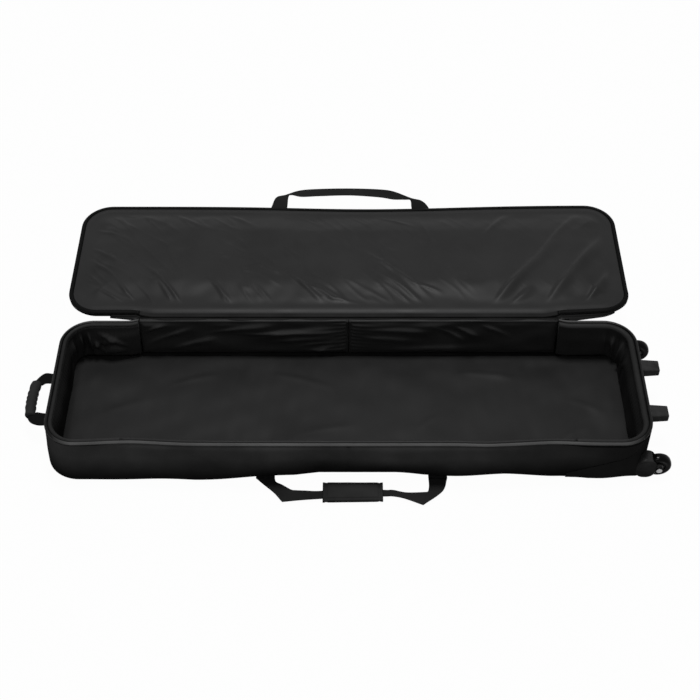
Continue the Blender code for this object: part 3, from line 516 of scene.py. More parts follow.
# Wall padding
# Foam strips in the same lining cloth stand round the inside: one wraps each end of the tray and one runs
# along the front, each with a round bead sewn in under the rim. The cloth puckers where the strips bend.
PAD_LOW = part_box("left_end_pad")[0][2]
PAD_OUT = 0.0040
PAD_IN = 0.0193
PAD_STEP = 0.0028
PAD_BELLY = 0.0035
PAD_RUMPLE = 0.0010
BEAD_IN = 0.0063
BEAD_DROP = 0.0008
BEAD_BLEND = 0.035
BEAD = {"left": 0.0052, "right": 0.0080, "front": 0.0056}
BEND_THIN = 0.0105
BEND_HALF = 0.045
END_BENDS = (0.173, 0.546)
END_LEAN = {"left": 0.004, "right": 0.018}
REAR_LEAN = 0.003
GATHER = 0.0100
GATHER_DEEP = 0.0011
# Each pucker of an end pad: its start and end as distance along the pad and height, its width and depth.
LEFT_PUCKERS = (
    ((0.025, 0.060), (0.110, 0.108), 0.007, 0.0090), ((0.030, 0.048), (0.105, 0.040), 0.008, 0.0090),
    ((0.055, 0.088), (0.130, 0.060), 0.007, 0.0090), ((0.085, 0.030), (0.118, 0.078), 0.007, 0.0090),
    ((0.128, 0.030), (0.135, 0.120), 0.008, 0.0110), ((0.166, 0.024), (0.160, 0.125), 0.008, 0.0130),
    ((0.206, 0.030), (0.195, 0.115), 0.009, 0.0070), ((0.530, 0.030), (0.540, 0.115), 0.010, 0.0055),
    ((0.576, 0.030), (0.570, 0.115), 0.010, 0.0050), ((0.146, 0.036), (0.146, 0.095), 0.008, -0.0080),
    ((0.093, 0.032), (0.100, 0.080), 0.008, -0.0080), ((0.040, 0.055), (0.085, 0.066), 0.009, -0.0080))
RIGHT_PUCKERS = (
    ((0.496, 0.020), (0.524, 0.126), 0.016, 0.0130), ((0.546, 0.020), (0.570, 0.126), 0.014, 0.0140),
    ((0.588, 0.030), (0.600, 0.115), 0.008, 0.0050), ((0.455, 0.030), (0.448, 0.112), 0.010, 0.0045),
    ((0.150, 0.030), (0.165, 0.120), 0.010, 0.0060), ((0.197, 0.030), (0.202, 0.115), 0.010, 0.0060))
PUCKERS = {"left": LEFT_PUCKERS, "right": RIGHT_PUCKERS}
FRONT_STEPS = 120
FRONT_LAP = 0.004
FRONT_FOOT_OUT = 0.0170
FRONT_BELLY = 0.002
FRONT_BELLY_HIGH = 0.11
FRONT_WAVE = 0.0012
# The end pads' cloth is a lighter copy of the lining as painted light, lighter still round the bends and at
# the back, and darkened at its foot as painted shade.
PAD_LIT_GREY = 0.0200
PAD_FOOT_Z = (0.066, 0.124)
PAD_FOOT_SHADE = (0.05, 0.65)
PAD_BEND_LIGHT = 0.95
PAD_REAR_LIGHT = 0.75


def run_length(points):
    """Distance along a row of points."""
    steps = np.linalg.norm(np.diff(points, axis=0), axis=1)
    return np.concatenate([[0.0], np.cumsum(steps)])


def end_run(side):
    """The stretch of the rim that one end pad follows."""
    points, outward = rim_run(PAD_STEP)
    keep = side * points[:, 0] > HINGE_END - 0.001
    return points[keep], outward[keep]


def wall_pad(name, points, outward, slack, radius, foot_out=PAD_OUT):
    """A padded strip drawn along the wall: a tall face that swells as slack says, under a round bead."""
    run = run_length(points)
    points = points + outward * rim_slack(points)[:, None]
    turn = np.linspace(-0.15, 1.05, 9) * math.pi
    back = [(PAD_OUT + 0.005, RIM_Z - 0.0126), (PAD_OUT, RIM_Z - 0.0146), (PAD_OUT, 0.085),
            (foot_out, PAD_LOW)]
    rows = []
    for i in range(len(points)):
        to_front = ease(-points[i][1], HALF_W - CORNER - 0.02, HALF_W - 0.004)
        bead_round = radius + (BEAD["front"] - radius) * to_front
        bead_in = BEAD_IN + bead_round
        bead_z = RIM_Z - BEAD_DROP - bead_round
        bead = np.column_stack([bead_in + bead_round * np.cos(turn), bead_z + bead_round * np.sin(turn)])
        face_z = np.linspace(PAD_LOW, RIM_Z - bead_round * 1.6, 18)
        blend = ease(face_z, face_z[-1] - BEAD_BLEND, face_z[-1])
        face_in = PAD_IN + slack(run[i], face_z, points[i])
        face_in = face_in * (1.0 - blend) + (bead_in + bead_round * 0.9) * blend
        section = np.vstack([np.column_stack([face_in, face_z]), bead, back])
        rows.append(np.column_stack([points[i] - outward[i] * section[:, :1], section[:, 1]]))
    return close_up(skin(name, rows, around=True))


def end_slack(run, z, place):
    """Slack of an end pad: leaning in to its foot, thin and puckered round its bends, with a soft belly."""
    word = "right" if place[0] > 0.0 else "left"
    up = np.clip((z - PAD_LOW) / (RIM_Z - PAD_LOW), 0.0, 1.0)
    pleat = math.sin(2.0 * math.pi * run / GATHER + 2.0 * math.sin(run * 31.0))
    swell = GATHER_DEEP * ease(up, 0.45, 0.8) * pleat
    swell = swell + PAD_BELLY * np.sin(np.pi * up)
    swell = swell + PAD_RUMPLE * rumple(np.full_like(z, run), z * 1.6, 0.09, 23)
    on_end = ease(abs(place[0]), HALF_L - CORNER, HALF_L - 0.012)
    on_rear = (1.0 - on_end) * ease(place[1], 0.05, 0.12)
    swell = swell + (END_LEAN[word] * on_end + REAR_LEAN * on_rear) * (1.0 - up ** 1.4)
    for bend in END_BENDS:
        swell = swell - BEND_THIN * math.exp(-((run - bend) / BEND_HALF) ** 2)
    for start, end, width, depth in PUCKERS[word]:
        swell = swell + depth * crease(run, z, start, end, width) * np.sin(np.pi * up) ** 0.5
    return swell


def front_slack(run, z, place):
    """Slack of the front pad: a shallow belly with slow waves along it."""
    belly = FRONT_BELLY * np.sin(np.pi * (z - PAD_LOW) / FRONT_BELLY_HIGH)
    return belly + FRONT_WAVE * rumple(run, z * 3.0, 0.18, 31)


def pad_painted_light(tree, spot):
    """Painted light and shade: an end pad is dark at its foot, and lighter round its bends and at the back.
    """
    foot = ramp(tree, spot["Z"], *PAD_FOOT_Z, *PAD_FOOT_SHADE)
    from_middle = combine(tree, "ABSOLUTE", spot["X"])
    lit_off_end = ramp(tree, from_middle, HALF_L - 0.022, HALF_L - 0.075, 0.0, PAD_BEND_LIGHT)
    lit_at_rear = ramp(tree, spot["Y"], HALF_W - 0.105, HALF_W - 0.050, 0.0, PAD_REAR_LIGHT)
    return combine(tree, "MAXIMUM", combine(tree, "MAXIMUM", lit_off_end, foot), lit_at_rear)


# Painted light and shade: a lighter lining copy, brightened at the bends and back and darkened at the foot.
pad_lit_cloth = woven_cloth("pad_lit_cloth", grey=PAD_LIT_GREY, thread=LINING_THREAD, rough=0.45, gloss=0.030,
                        relief=0.12, fade=0.12, painted_light=pad_painted_light)
for side, word in ((-1, "left"), (1, "right")):
    end_at, end_out = end_run(side)
    end_lining = wall_pad(word + "_end_lining", end_at, end_out, end_slack, BEAD[word])
    dress(end_lining, pad_lit_cloth, "tray", "lining_cloth", word + "_end_pad")

front_x = np.linspace(-HINGE_END - FRONT_LAP, HINGE_END + FRONT_LAP, FRONT_STEPS)
front_at = np.column_stack([front_x, np.full(FRONT_STEPS, -HALF_W)])
front_out = np.repeat([[0.0, -1.0]], FRONT_STEPS, axis=0)
# The front pad wears the mat's darkened lining, as painted shade.
front_lining = wall_pad("front_wall_lining", front_at, front_out, front_slack, BEAD["front"], FRONT_FOOT_OUT)
dress(front_lining, mat_shaded_cloth, "tray", "lining_cloth", "front_wall_pad")

# Back panels
# Two thin slack panels of lining cloth hang along the back wall, sewn under the hinge and down to the mat.
# They meet in a gathered seam at the middle, and the loose cloth is drawn into long folds.
PANEL_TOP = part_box("back_wall_panel_left")[1][2]
PANEL_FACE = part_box("back_wall_panel_left")[0][1]
PANEL_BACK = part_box("back_wall_panel_left")[1][1]
PANEL_SHORT = 0.0034
PANEL_PUFF = 0.0035
PANEL_RUMPLE = 0.0018
PANEL_FOLD = 0.0048
PANEL_BOW = 0.004
SEAM_GAP = 0.0012
SEAM_BEAD = 0.0022
SEAM_BEAD_AT = 0.0040
SEAM_BEAD_HALF = 0.0016
SEAM_GATHER = 0.0022
SEAM_GATHER_PITCH = 0.0115
SEAM_GATHER_REACH = 0.030
# Start, end and width of each fold, as places along the wall and heights.
LEFT_FOLDS = (
    ((-0.52, 0.055), (-0.40, 0.105), 0.010), ((-0.46, 0.04), (-0.33, 0.075), 0.012),
    ((-0.24, 0.075), (-0.03, 0.105), 0.014), ((-0.20, 0.06), (-0.02, 0.075), 0.010),
    ((-0.09, 0.03), (-0.02, 0.055), 0.008), ((-0.36, 0.09), (-0.20, 0.11), 0.012),
    ((-0.13, 0.045), (-0.01, 0.066), 0.007), ((-0.12, 0.028), (-0.01, 0.040), 0.007),
    ((-0.30, 0.085), (-0.02, 0.092), 0.008), ((-0.53, 0.09), (-0.47, 0.118), 0.007))
RIGHT_FOLDS = (
    ((0.03, 0.075), (0.19, 0.062), 0.012), ((0.05, 0.10), (0.22, 0.092), 0.012),
    ((0.22, 0.11), (0.31, 0.06), 0.010), ((0.27, 0.11), (0.34, 0.075), 0.010),
    ((0.34, 0.115), (0.42, 0.075), 0.010), ((0.10, 0.035), (0.38, 0.042), 0.016))

# The panels' cloth is the lining cloth made lighter, as painted light.
panel_lit_cloth = woven_cloth("panel_lit_cloth", grey=LINING_GREY * 1.25, thread=LINING_THREAD, rough=0.42,
                          gloss=0.07, relief=0.12, fade=0.12)
panel_share = np.linspace(0.0, 1.0, 190) ** 1.5
panel_heights = np.linspace(PAD_LOW, PANEL_TOP, 40)
for side, word, folds in ((-1, "left", LEFT_FOLDS), (1, "right", RIGHT_FOLDS)):
    panel_run = side * (SEAM_GAP + (HINGE_END - PANEL_SHORT - SEAM_GAP) * panel_share)
    panel_x, panel_z = np.meshgrid(panel_run, panel_heights)
    off_seam = np.abs(panel_x)
    from_side = np.minimum(off_seam, HINGE_END - off_seam)
    from_edge = np.minimum(from_side, np.minimum(panel_z - PAD_LOW, PANEL_TOP - panel_z))
    loose = ease(from_edge, 0.0, 0.016)
    seam_bead = SEAM_BEAD * np.exp(-((off_seam - SEAM_BEAD_AT) / SEAM_BEAD_HALF) ** 2)
    gather = SEAM_GATHER * ease(off_seam, 0.002, 0.012) * np.exp(-off_seam / SEAM_GATHER_REACH)
    gather = gather * np.sin(2.0 * math.pi * panel_z / SEAM_GATHER_PITCH + 40.0 * off_seam + side)
    gather = gather * ease(panel_z, PAD_LOW, PAD_LOW + 0.03)
    waves = PANEL_RUMPLE * rumple(panel_x * 0.8, panel_z * 1.6, 0.11, 40 + side)
    puff = seam_bead + gather + loose * (PANEL_PUFF + waves)
    for start, end, width in folds:
        puff = puff + loose * PANEL_FOLD * crease(panel_x, panel_z, start, end, width, PANEL_BOW)
    panel_lean = BACK_LEAN * ease(panel_z, 0.02, PANEL_TOP)
    panel_y = np.pad(PANEL_FACE + panel_lean - puff, 1, mode="edge")
    panel_back = PANEL_BACK + np.pad(panel_lean, 1, mode="edge")
    panel_y[[0, -1], :] = panel_back[[0, -1], :]
    panel_y[:, [0, -1]] = panel_back[:, [0, -1]]
    panel_grid = np.stack([np.pad(panel_x, 1, mode="edge"), panel_y, np.pad(panel_z, 1, mode="edge")], axis=2)
    panel = close_up(skin("back_lining_" + word, panel_grid))
    dress(panel, panel_lit_cloth, "tray", "lining_cloth", "back_wall_panel_" + word)

# Rim trim
# Both halves end in a folded edge binding of cover cloth, darkened as painted shade. On it is sewn the
# nylon zip: a flat tape, painted pale along the tray's front as a highlight and fading to dark round its
# ends, with the coil along its free outer edge. The lid's rim sags with the lid.
LID_NEAR, LID_FAR = (corner[1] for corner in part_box("lid_rim_binding"))
LID_Y = (LID_NEAR + LID_FAR) / 2.0
LID_DRAW = 0.006
LID_REACH = 0.0065
LID_DIP = 0.004
LID_DIP_X = 0.05
LID_DIP_HALF = 0.27
LID_SPREAD = 0.006
LID_SWEEP = 0.008
HINGE_DRAW = 0.0105
TRIM_STEP = 0.006
TRAY_NARROW = 0.62
COIL_OUT = 0.0009
COIL_Z = RIM_Z - 0.0052
COIL_RADIUS = 0.0011
COIL_PITCH = 0.0030
EDGE_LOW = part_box("tray_zip_tape")[0][2] + 0.0010
# Sections as distance in from the rim's outer line and height.
EDGE_SECTION = ((-0.0002, EDGE_LOW), (-0.0012, EDGE_LOW + 0.0006), (-0.0014, RIM_Z - 0.0075),
                (-0.0010, RIM_Z - 0.0062), (0.0010, RIM_Z - 0.0056), (0.0060, RIM_Z - 0.0056),
                (0.0098, RIM_Z - 0.0058), (0.0104, RIM_Z - 0.0070), (0.0104, RIM_Z - 0.0100),
                (0.0040, RIM_Z - 0.0100), (0.0003, RIM_Z - 0.0090))
TAPE_SECTION = ((0.0094, RIM_Z - 0.0050), (0.0090, RIM_Z - 0.0022), (0.0076, RIM_Z - 0.0004),
                (0.0058, RIM_Z), (0.0040, RIM_Z - 0.0004), (0.0016, RIM_Z - 0.0012),
                (-0.0008, RIM_Z - 0.0021), (-0.0016, RIM_Z - 0.0028), (-0.0018, RIM_Z - 0.0040),
                (0.0020, RIM_Z - 0.0062))
BINDING_SHADE_GREY = 0.0070
TAPE_HIGHLIGHT_GREY = 0.0540
TAPE_END_SHADE = 0.10
LID_TAPE_GREY = 0.0028
COIL_GREY = 0.010
TAPE_THREAD = 0.0007
COIL_THREAD = 0.0008


def onto_lid(points):
    """Mirror places on the tray across the hinge onto the open lid."""
    return np.column_stack([points[:, 0], LID_Y - points[:, 1], points[:, 2:]])


def hinge_hold(x):
    """One along the hinge, fading out round its ends."""
    return 1.0 - ease(np.abs(x), HINGE_END - 0.040, HINGE_END + 0.022)


def lid_sag(points):
    """Let the lid hang: its far edge dips between the ends, and its near edge is drawn up to the hinge."""
    x, y = points[..., 0], points[..., 1]
    far = np.clip((y - (LID_Y - HALF_W)) / (2.0 * HALF_W), 0.0, 1.1) ** 1.5
    dip = far * np.exp(-((x - LID_DIP_X) / LID_DIP_HALF) ** 2)
    near = ease(LID_Y - HALF_W + 0.090 - y, 0.0, 0.088)
    spread = LID_SPREAD * near * ease(x, HALF_L - 0.15, HALF_L)
    reach = LID_REACH * far * (1.0 + 0.7 * ease(x, 0.2, 0.65)) - LID_DRAW * dip
    reach = reach - HINGE_DRAW * near * hinge_hold(x)
    reach = reach + LID_SWEEP * near * ease(x, HINGE_END, HALF_L - 0.02)
    return points + np.stack([spread, reach, -LID_DIP * dip], axis=-1)


def along_rim(name, half, spacing, section_at):
    """A narrow trim drawn along the rim of the tray or lid, its section asked for at each distance along."""
    points, outward = rim_run(spacing)
    if half == "tray":
        points = points + outward * rim_slack(points)[:, None]
    rows = []
    for place, out, at in zip(points, outward, run_length(points)):
        section = section_at(at)
        row = np.column_stack([place - out * section[:, :1], section[:, 1]])
        rows.append(lid_sag(onto_lid(row)) if half == "lid" else row)
    return close_up(skin(name, rows, around=True))


def sewn_trim(name, half, section):
    """A trim of one section, narrower on the tray's rim than on the lid's."""
    section = np.array(section)
    if half == "tray":
        section[:, 0] = np.where(section[:, 0] > 0.0, section[:, 0] * TRAY_NARROW, section[:, 0])
    return along_rim(name, half, TRIM_STEP, lambda at: section)


def coil_section(at):
    """Outline of the nylon spiral at a distance along it, one swelling to each turn."""
    turns = np.linspace(0.0, 2.0 * math.pi, 7)[:-1]
    radius = COIL_RADIUS * (0.86 + 0.14 * math.sin(2.0 * math.pi * at / COIL_PITCH))
    return np.column_stack([-COIL_OUT - radius * np.cos(turns), COIL_Z + radius * np.sin(turns)])


def tape_painted_highlight(tree, spot):
    """Painted highlight: the tray's tape is pale along the front and dark round the ends."""
    from_middle = combine(tree, "ABSOLUTE", spot["X"])
    return ramp(tree, from_middle, HALF_L - 0.022, HALF_L - 0.070, TAPE_END_SHADE, 1.0)


# The binding is the cover cloth darkened as painted shade along the rim.
binding_shaded_cloth = woven_cloth("binding_shaded_cloth", grey=BINDING_SHADE_GREY, thread=CLOTH_THREAD, rough=0.62, gloss=0.0,
                            relief=0.35)
# The tray's tape carries a painted highlight, pale along the front.
zip_nylon = woven_cloth("zip_nylon", grey=TAPE_HIGHLIGHT_GREY, thread=TAPE_THREAD, rough=0.36, gloss=0.05,
                        relief=0.2, fade=0.2, painted_light=tape_painted_highlight)
lid_nylon = woven_cloth("lid_nylon", grey=LID_TAPE_GREY, thread=TAPE_THREAD, rough=0.45, gloss=0.02,
                        relief=0.2, fade=0.2)
coil_nylon = woven_cloth("coil_nylon", grey=COIL_GREY, thread=COIL_THREAD, rough=0.30, gloss=0.06,
                         relief=0.15, fade=0.2)
for half, tape_nylon in (("tray", zip_nylon), ("lid", lid_nylon)):
    binding = sewn_trim(half + "_binding", half, EDGE_SECTION)
    dress(binding, binding_shaded_cloth, half, "cover_cloth", half + "_rim_binding")
    tape = sewn_trim(half + "_tape", half, TAPE_SECTION)
    dress(tape, tape_nylon, half, "zip_nylon", half + "_zip_tape")
    coil = along_rim(half + "_coil", half, COIL_PITCH / 4.0, coil_section)
    dress(coil, coil_nylon, half, "zip_nylon", half + "_zip_coil")

# Lid
# The upper half: a shallow tray of the cover cloth round one foam sheet, closed inside with slack lining
# cloth. It lies folded right back, and its lining is drawn into long slanting creases.
LID_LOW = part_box("lid_outer_cover")[0][2]
LID_COVER_THICK = 0.0009
LID_COVER_LAP = 0.0006
LID_COVER_STEP = 0.007
LID_COVER_WAVE = 0.0006
LID_ROUND = 0.012
LID_LINING_IN = 0.0098
LID_LINING_STEP = 0.0037
LID_LINING_DEEP = 0.0130
LID_EDGE_DROP = 0.0022
LID_EDGE_ROLL = 0.010
LID_CROWN = 0.0130
NEAR_ROLL = 0.0090
NEAR_ROLL_WIDE = 0.018
NEAR_DRAW = 0.0060
LID_WAVE = 0.0011
LID_RIPPLE = 0.0003
LID_FOLD = 0.0036
LID_FOLD_BOW = 0.02
LID_WRINKLE = 0.0015
WRINKLE_SLANT = math.radians(52.0)
WRINKLE_SIZE = 0.050
WRINKLE_SHARP = 0.22
# Start, end, width and height of each crease in the lid's lining.
LID_CREASES = (
    ((-0.535, 0.395), (-0.425, 0.258), 0.0055, 1.0), ((-0.505, 0.345), (-0.455, 0.270), 0.0045, 0.7),
    ((-0.37, 0.350), (-0.295, 0.258), 0.0055, 1.0), ((-0.345, 0.320), (-0.315, 0.265), 0.0045, 0.6),
    ((-0.25, 0.330), (-0.19, 0.262), 0.005, 0.6), ((-0.61, 0.335), (-0.545, 0.258), 0.006, 0.6),
    ((-0.17, 0.375), (-0.055, 0.262), 0.007, 1.0), ((-0.135, 0.340), (-0.010, 0.266), 0.005, 0.9),
    ((-0.095, 0.330), (0.015, 0.258), 0.005, 0.8), ((-0.07, 0.290), (0.05, 0.262), 0.0045, 0.7),
    ((-0.145, 0.560), (-0.115, 0.330), 0.010, 0.5), ((-0.175, 0.540), (-0.155, 0.400), 0.008, 0.4),
    ((0.025, 0.465), (0.215, 0.285), 0.008, 1.0), ((0.060, 0.390), (0.205, 0.258), 0.007, 1.0),
    ((0.095, 0.330), (0.180, 0.252), 0.005, 0.8), ((0.16, 0.335), (0.245, 0.300), 0.005, 0.7),
    ((0.05, 0.615), (0.18, 0.550), 0.006, 0.6), ((0.10, 0.625), (0.20, 0.590), 0.005, 0.5),
    ((0.195, 0.575), (0.245, 0.430), 0.008, 0.5), ((0.362, 0.246), (0.577, 0.500), 0.0200, 2.2),
    ((0.505, 0.430), (0.640, 0.610), 0.014, 0.9), ((0.405, 0.250), (0.480, 0.312), 0.014, 1.6),
    ((0.505, 0.252), (0.715, 0.535), 0.0200, 2.0), ((0.610, 0.256), (0.712, 0.400), 0.015, 1.6),
    ((0.36, 0.50), (0.455, 0.628), 0.013, 0.8), ((-0.705, 0.480), (-0.60, 0.395), 0.0045, 0.7),
    ((-0.708, 0.440), (-0.62, 0.360), 0.0045, 0.7), ((-0.700, 0.545), (-0.59, 0.490), 0.005, 0.5),
    ((-0.705, 0.390), (-0.645, 0.320), 0.0045, 0.6), ((-0.66, 0.315), (-0.56, 0.250), 0.005, 0.8),
    ((-0.62, 0.625), (-0.49, 0.550), 0.008, 0.4), ((-0.50, 0.622), (-0.40, 0.540), 0.008, 0.4),
    ((-0.36, 0.622), (-0.25, 0.545), 0.008, 0.5))
CLOTH_GREY = 0.0200


def sag_points(obj):
    """Give a lid piece the same sag as its trim."""
    count = len(obj.data.vertices)
    points = np.empty(count * 3, np.float32)
    obj.data.vertices.foreach_get("co", points)
    points = lid_sag(points.reshape(count, 3).astype(float))
    obj.data.vertices.foreach_set("co", points.ravel().astype(np.float32))
    obj.data.update()


plain_cover = woven_cloth("plain_cover", grey=CLOTH_GREY, thread=CLOTH_THREAD, rough=0.62, gloss=0.0,
                          relief=0.35)
back_x, back_y, back_in = pad_plan(HALF_L, HALF_W, CORNER, LID_COVER_STEP)
back_edge = np.clip(LID_ROUND - back_in, 0.0, LID_ROUND)
back_z = LID_LOW + LID_COVER_THICK + LID_ROUND - np.sqrt(LID_ROUND ** 2 - back_edge ** 2)
back_wave = rumple(back_x * 0.6, back_y, 0.17, 51)
back_z = back_z + LID_COVER_WAVE * ease(back_in, 0.01, 0.06) * back_wave
lid_cover = padded_top("lid_cover_cloth", back_x, back_y + LID_Y, back_z, WALL_TOP - LID_COVER_LAP)
sag_points(lid_cover)
dress(lid_cover, plain_cover, "lid", "cover_cloth", "lid_outer_cover", "lid_foam_panel")

lining_cloth = woven_cloth("lining_cloth", grey=LINING_GREY, thread=LINING_THREAD, rough=0.42, gloss=0.07,
                           relief=0.12, fade=0.12)
LINING_HALF_W = HALF_W - LID_LINING_IN
face_x, face_y, face_in = pad_plan(HALF_L - LID_LINING_IN, LINING_HALF_W, CORNER - LID_LINING_IN,
                                   LID_LINING_STEP)
face_y = face_y + LID_Y
loose = ease(face_in, 0.022, 0.050)
roll = np.clip(1.0 - (LINING_HALF_W - (LID_Y - face_y)) / NEAR_ROLL_WIDE, 0.0, 1.0)
rolled = hinge_hold(face_x)
face_y = face_y - NEAR_DRAW * rolled * roll
face_z = RIM_Z - LID_EDGE_DROP * np.exp(-(face_in / LID_EDGE_ROLL) ** 2)
face_z = face_z - NEAR_ROLL * rolled * (1.0 - np.sqrt(1.0 - roll ** 2))
face_z = face_z + LID_CROWN * ease(face_in, 0.018, 0.105)
face_z = face_z + loose * (LID_WAVE * rumple(face_x * 0.8, face_y, 0.17, 61)
                           + LID_RIPPLE * rumple(face_x, face_y, 0.06, 62))
along_slant = face_x * math.cos(WRINKLE_SLANT) - face_y * math.sin(WRINKLE_SLANT)
across_slant = face_x * math.sin(WRINKLE_SLANT) + face_y * math.cos(WRINKLE_SLANT)
wrinkle = np.exp(-(rumple(along_slant * 0.25, across_slant, WRINKLE_SIZE, 63) / WRINKLE_SHARP) ** 2)
wrinkle = wrinkle * ease(rumple(face_x, face_y, 0.20, 64), -0.6, 0.6) * (1.0 - 0.8 * ease(face_x, 0.25, 0.36))
face_z = face_z + loose * LID_WRINKLE * wrinkle
for start, end, width, share in LID_CREASES:
    bow = (end[0] - start[0]) * LID_FOLD_BOW
    face_z = face_z + loose * share * LID_FOLD * crease(face_x, face_y, start, end, width, bow)
lid_lining = padded_top("lid_lining_cloth", face_x, face_y, face_z, RIM_Z - LID_LINING_DEEP)
sag_points(lid_lining)
dress(lid_lining, lining_cloth, "lid", "lining_cloth", "lid_lining_panel")

# Hinge strip
# A doubled strip of lining cloth, sewn to the top of the tray's back wall and to the lid's near edge. It
# is drawn folded along its middle, and its loose tails run on past both ends along the lid's edge.
HINGE_Y = LID_Y / 2.0
STRIP_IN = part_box("tray_hinge_strip")[0][1] + BACK_LEAN
STRIP_THICK = 0.0012
STRIP_SHAKE = 0.0007
STRIP_STEPS = 300
STRIP_SHADE_GREY = 0.0045
STRIP_TOP = np.array([(STRIP_IN, RIM_Z - 0.0052), (STRIP_IN + 0.0030, RIM_Z - 0.0026),
                      (HINGE_Y - 0.008, RIM_Z - 0.0016), (HINGE_Y - 0.004, RIM_Z - 0.0030),
                      (HINGE_Y, RIM_Z - 0.0070), (HINGE_Y + 0.003, RIM_Z - 0.0100),
                      (HINGE_Y + 0.009, RIM_Z - 0.0120)])
TAIL_LEFT = 0.616
TAIL_RIGHT = 0.690
TAIL_FAR = 0.0112
TAIL_HEIGHTS = RIM_Z - np.array([0.0128, 0.0126, 0.0126, 0.0124, 0.0118, 0.0105, 0.0070])
# Where each tail ends, how far it starts in front of the hinge line, and how much it narrows.
LEFT_TAIL = (TAIL_LEFT, 0.004, 0.010)
RIGHT_TAIL = (TAIL_RIGHT, 0.010, 0.018)

# The strip is the lining cloth darkened as painted shade in the hinge's fold.
strip_shaded_cloth = woven_cloth("strip_shaded_cloth", grey=STRIP_SHADE_GREY, thread=LINING_THREAD, rough=0.45, gloss=0.03,
                          relief=0.12, fade=0.12)
strip_rows = []
for x in np.linspace(-TAIL_LEFT, TAIL_RIGHT, STRIP_STEPS):
    past = ease(abs(x), HINGE_END - 0.004, HINGE_END + 0.002)
    tail_end, tail_near, tail_taper = LEFT_TAIL if x < 0.0 else RIGHT_TAIL
    tail_share = np.clip((abs(x) - HINGE_END) / (tail_end - HINGE_END), 0.0, 1.0)
    rise = CORNER - math.sqrt(CORNER ** 2 - max(0.0, x - (HALF_L - CORNER)) ** 2)
    rise = rise + 0.9 * LID_SWEEP * ease(x, HINGE_END, HALF_L - 0.02)
    tail_near_y = HINGE_Y - tail_near + tail_taper * tail_share
    tail_y = np.linspace(tail_near_y, HINGE_Y + TAIL_FAR, len(TAIL_HEIGHTS)) + rise
    upper = STRIP_TOP * (1.0 - past) + np.column_stack([tail_y, TAIL_HEIGHTS]) * past
    strip_section = np.vstack([upper, upper[::-1] + np.array([0.0, -STRIP_THICK])])
    shake = STRIP_SHAKE * rumple(np.array(x), strip_section[:, 0] * 2.0, 0.10, 71) * (1.0 - past)
    strip_rows.append(np.column_stack([np.full(len(strip_section), x), strip_section[:, 0],
                                       np.minimum(strip_section[:, 1] + shake, RIM_Z)]))
hinge_strip = close_up(skin("hinge_strip", strip_rows, around=True))
paint(hinge_strip, strip_shaded_cloth)
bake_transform(hinge_strip)
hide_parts("tray_hinge_strip", "lid_hinge_strip")

# Carry handles
# Two loops of thick black webbing, sewn to the bottom of the tray and the back of the lid. Each is folded
# over at its corners, so it narrows to a grip: the tray's lies on the floor, the lid's stands off its edge.
WEB_THICK = 0.0019
WEB_CROWN = 0.0006
WEB_GREY = 0.0130
WEB_THREAD = 0.0016
STRAP_STEPS = 8
STRAP_ACROSS = np.array([0.0, 0.03, 0.15, 0.35, 0.5, 0.65, 0.85, 0.97, 1.0])
STRAP_ROUND = np.array([0.25, 0.85, 1.0, 1.0, 1.0, 1.0, 1.0, 0.85, 0.25])
ANCHOR_LENGTH = 0.120
ANCHOR_STOPS = (0.0, 0.03, 0.3, 0.6, 1.0)
ANCHOR_THICK = WEB_THICK * 0.9
TRAY_ANCHOR_GAP = 0.0016
TRAY_ANCHOR_Z = 0.0011
LID_ANCHOR_GAP = 0.0018
LID_ANCHOR_Z = 0.1049
# The two edges of each loop, from its left sewn end to its right one.
TRAY_LOOP = (
    ((-0.225, -0.2084, 0.0022), (-0.179, -0.2084, 0.0022)),
    ((-0.205, -0.230, 0.0045), (-0.175, -0.221, 0.004)),
    ((-0.179, -0.257, 0.007), (-0.160, -0.231, 0.006)),
    ((-0.1615, -0.2815, 0.009), (-0.142, -0.2450, 0.008)),
    ((-0.1575, -0.2850, 0.009), (-0.136, -0.2480, 0.008)),
    ((-0.1520, -0.2845, 0.009), (-0.130, -0.2490, 0.008)),
    ((-0.114, -0.280, 0.009), (-0.105, -0.251, 0.009)),
    ((-0.066, -0.276, 0.009), (-0.066, -0.252, 0.009)),
    ((0.010, -0.270, 0.009), (0.010, -0.242, 0.009)),
    ((0.085, -0.269, 0.009), (0.086, -0.249, 0.009)),
    ((0.108, -0.269, 0.009), (0.107, -0.249, 0.009)),
    ((0.136, -0.276, 0.009), (0.140, -0.2565, 0.009)),
    ((0.1735, -0.2925, 0.009), (0.1860, -0.2545, 0.008)),
    ((0.1785, -0.2940, 0.009), (0.1905, -0.2530, 0.008)),
    ((0.1835, -0.2905, 0.009), (0.1925, -0.2490, 0.008)),
    ((0.227, -0.2507, 0.006), (0.1945, -0.232, 0.005)),
    ((0.240, -0.2084, 0.0022), (0.194, -0.2084, 0.0022)))
LID_LOOP = (
    ((-0.222, 0.6440, 0.1052), (-0.173, 0.6440, 0.1052)),
    ((-0.214, 0.664, 0.117), (-0.171, 0.664, 0.117)),
    ((-0.203, 0.686, 0.127), (-0.168, 0.688, 0.129)),
    ((-0.180, 0.712, 0.113), (-0.158, 0.692, 0.131)),
    ((-0.138, 0.7265, 0.118), (-0.132, 0.685, 0.130)),
    ((-0.081, 0.7268, 0.1235), (-0.081, 0.688, 0.130)),
    ((0.004, 0.727, 0.125), (0.004, 0.691, 0.130)),
    ((0.085, 0.7255, 0.123), (0.085, 0.683, 0.130)),
    ((0.127, 0.720, 0.120), (0.125, 0.676, 0.128)),
    ((0.176, 0.703, 0.110), (0.156, 0.677, 0.127)),
    ((0.205, 0.676, 0.123), (0.172, 0.677, 0.125)),
    ((0.222, 0.660, 0.115), (0.175, 0.660, 0.116)),
    ((0.228, 0.6440, 0.1052), (0.177, 0.6440, 0.1052)))


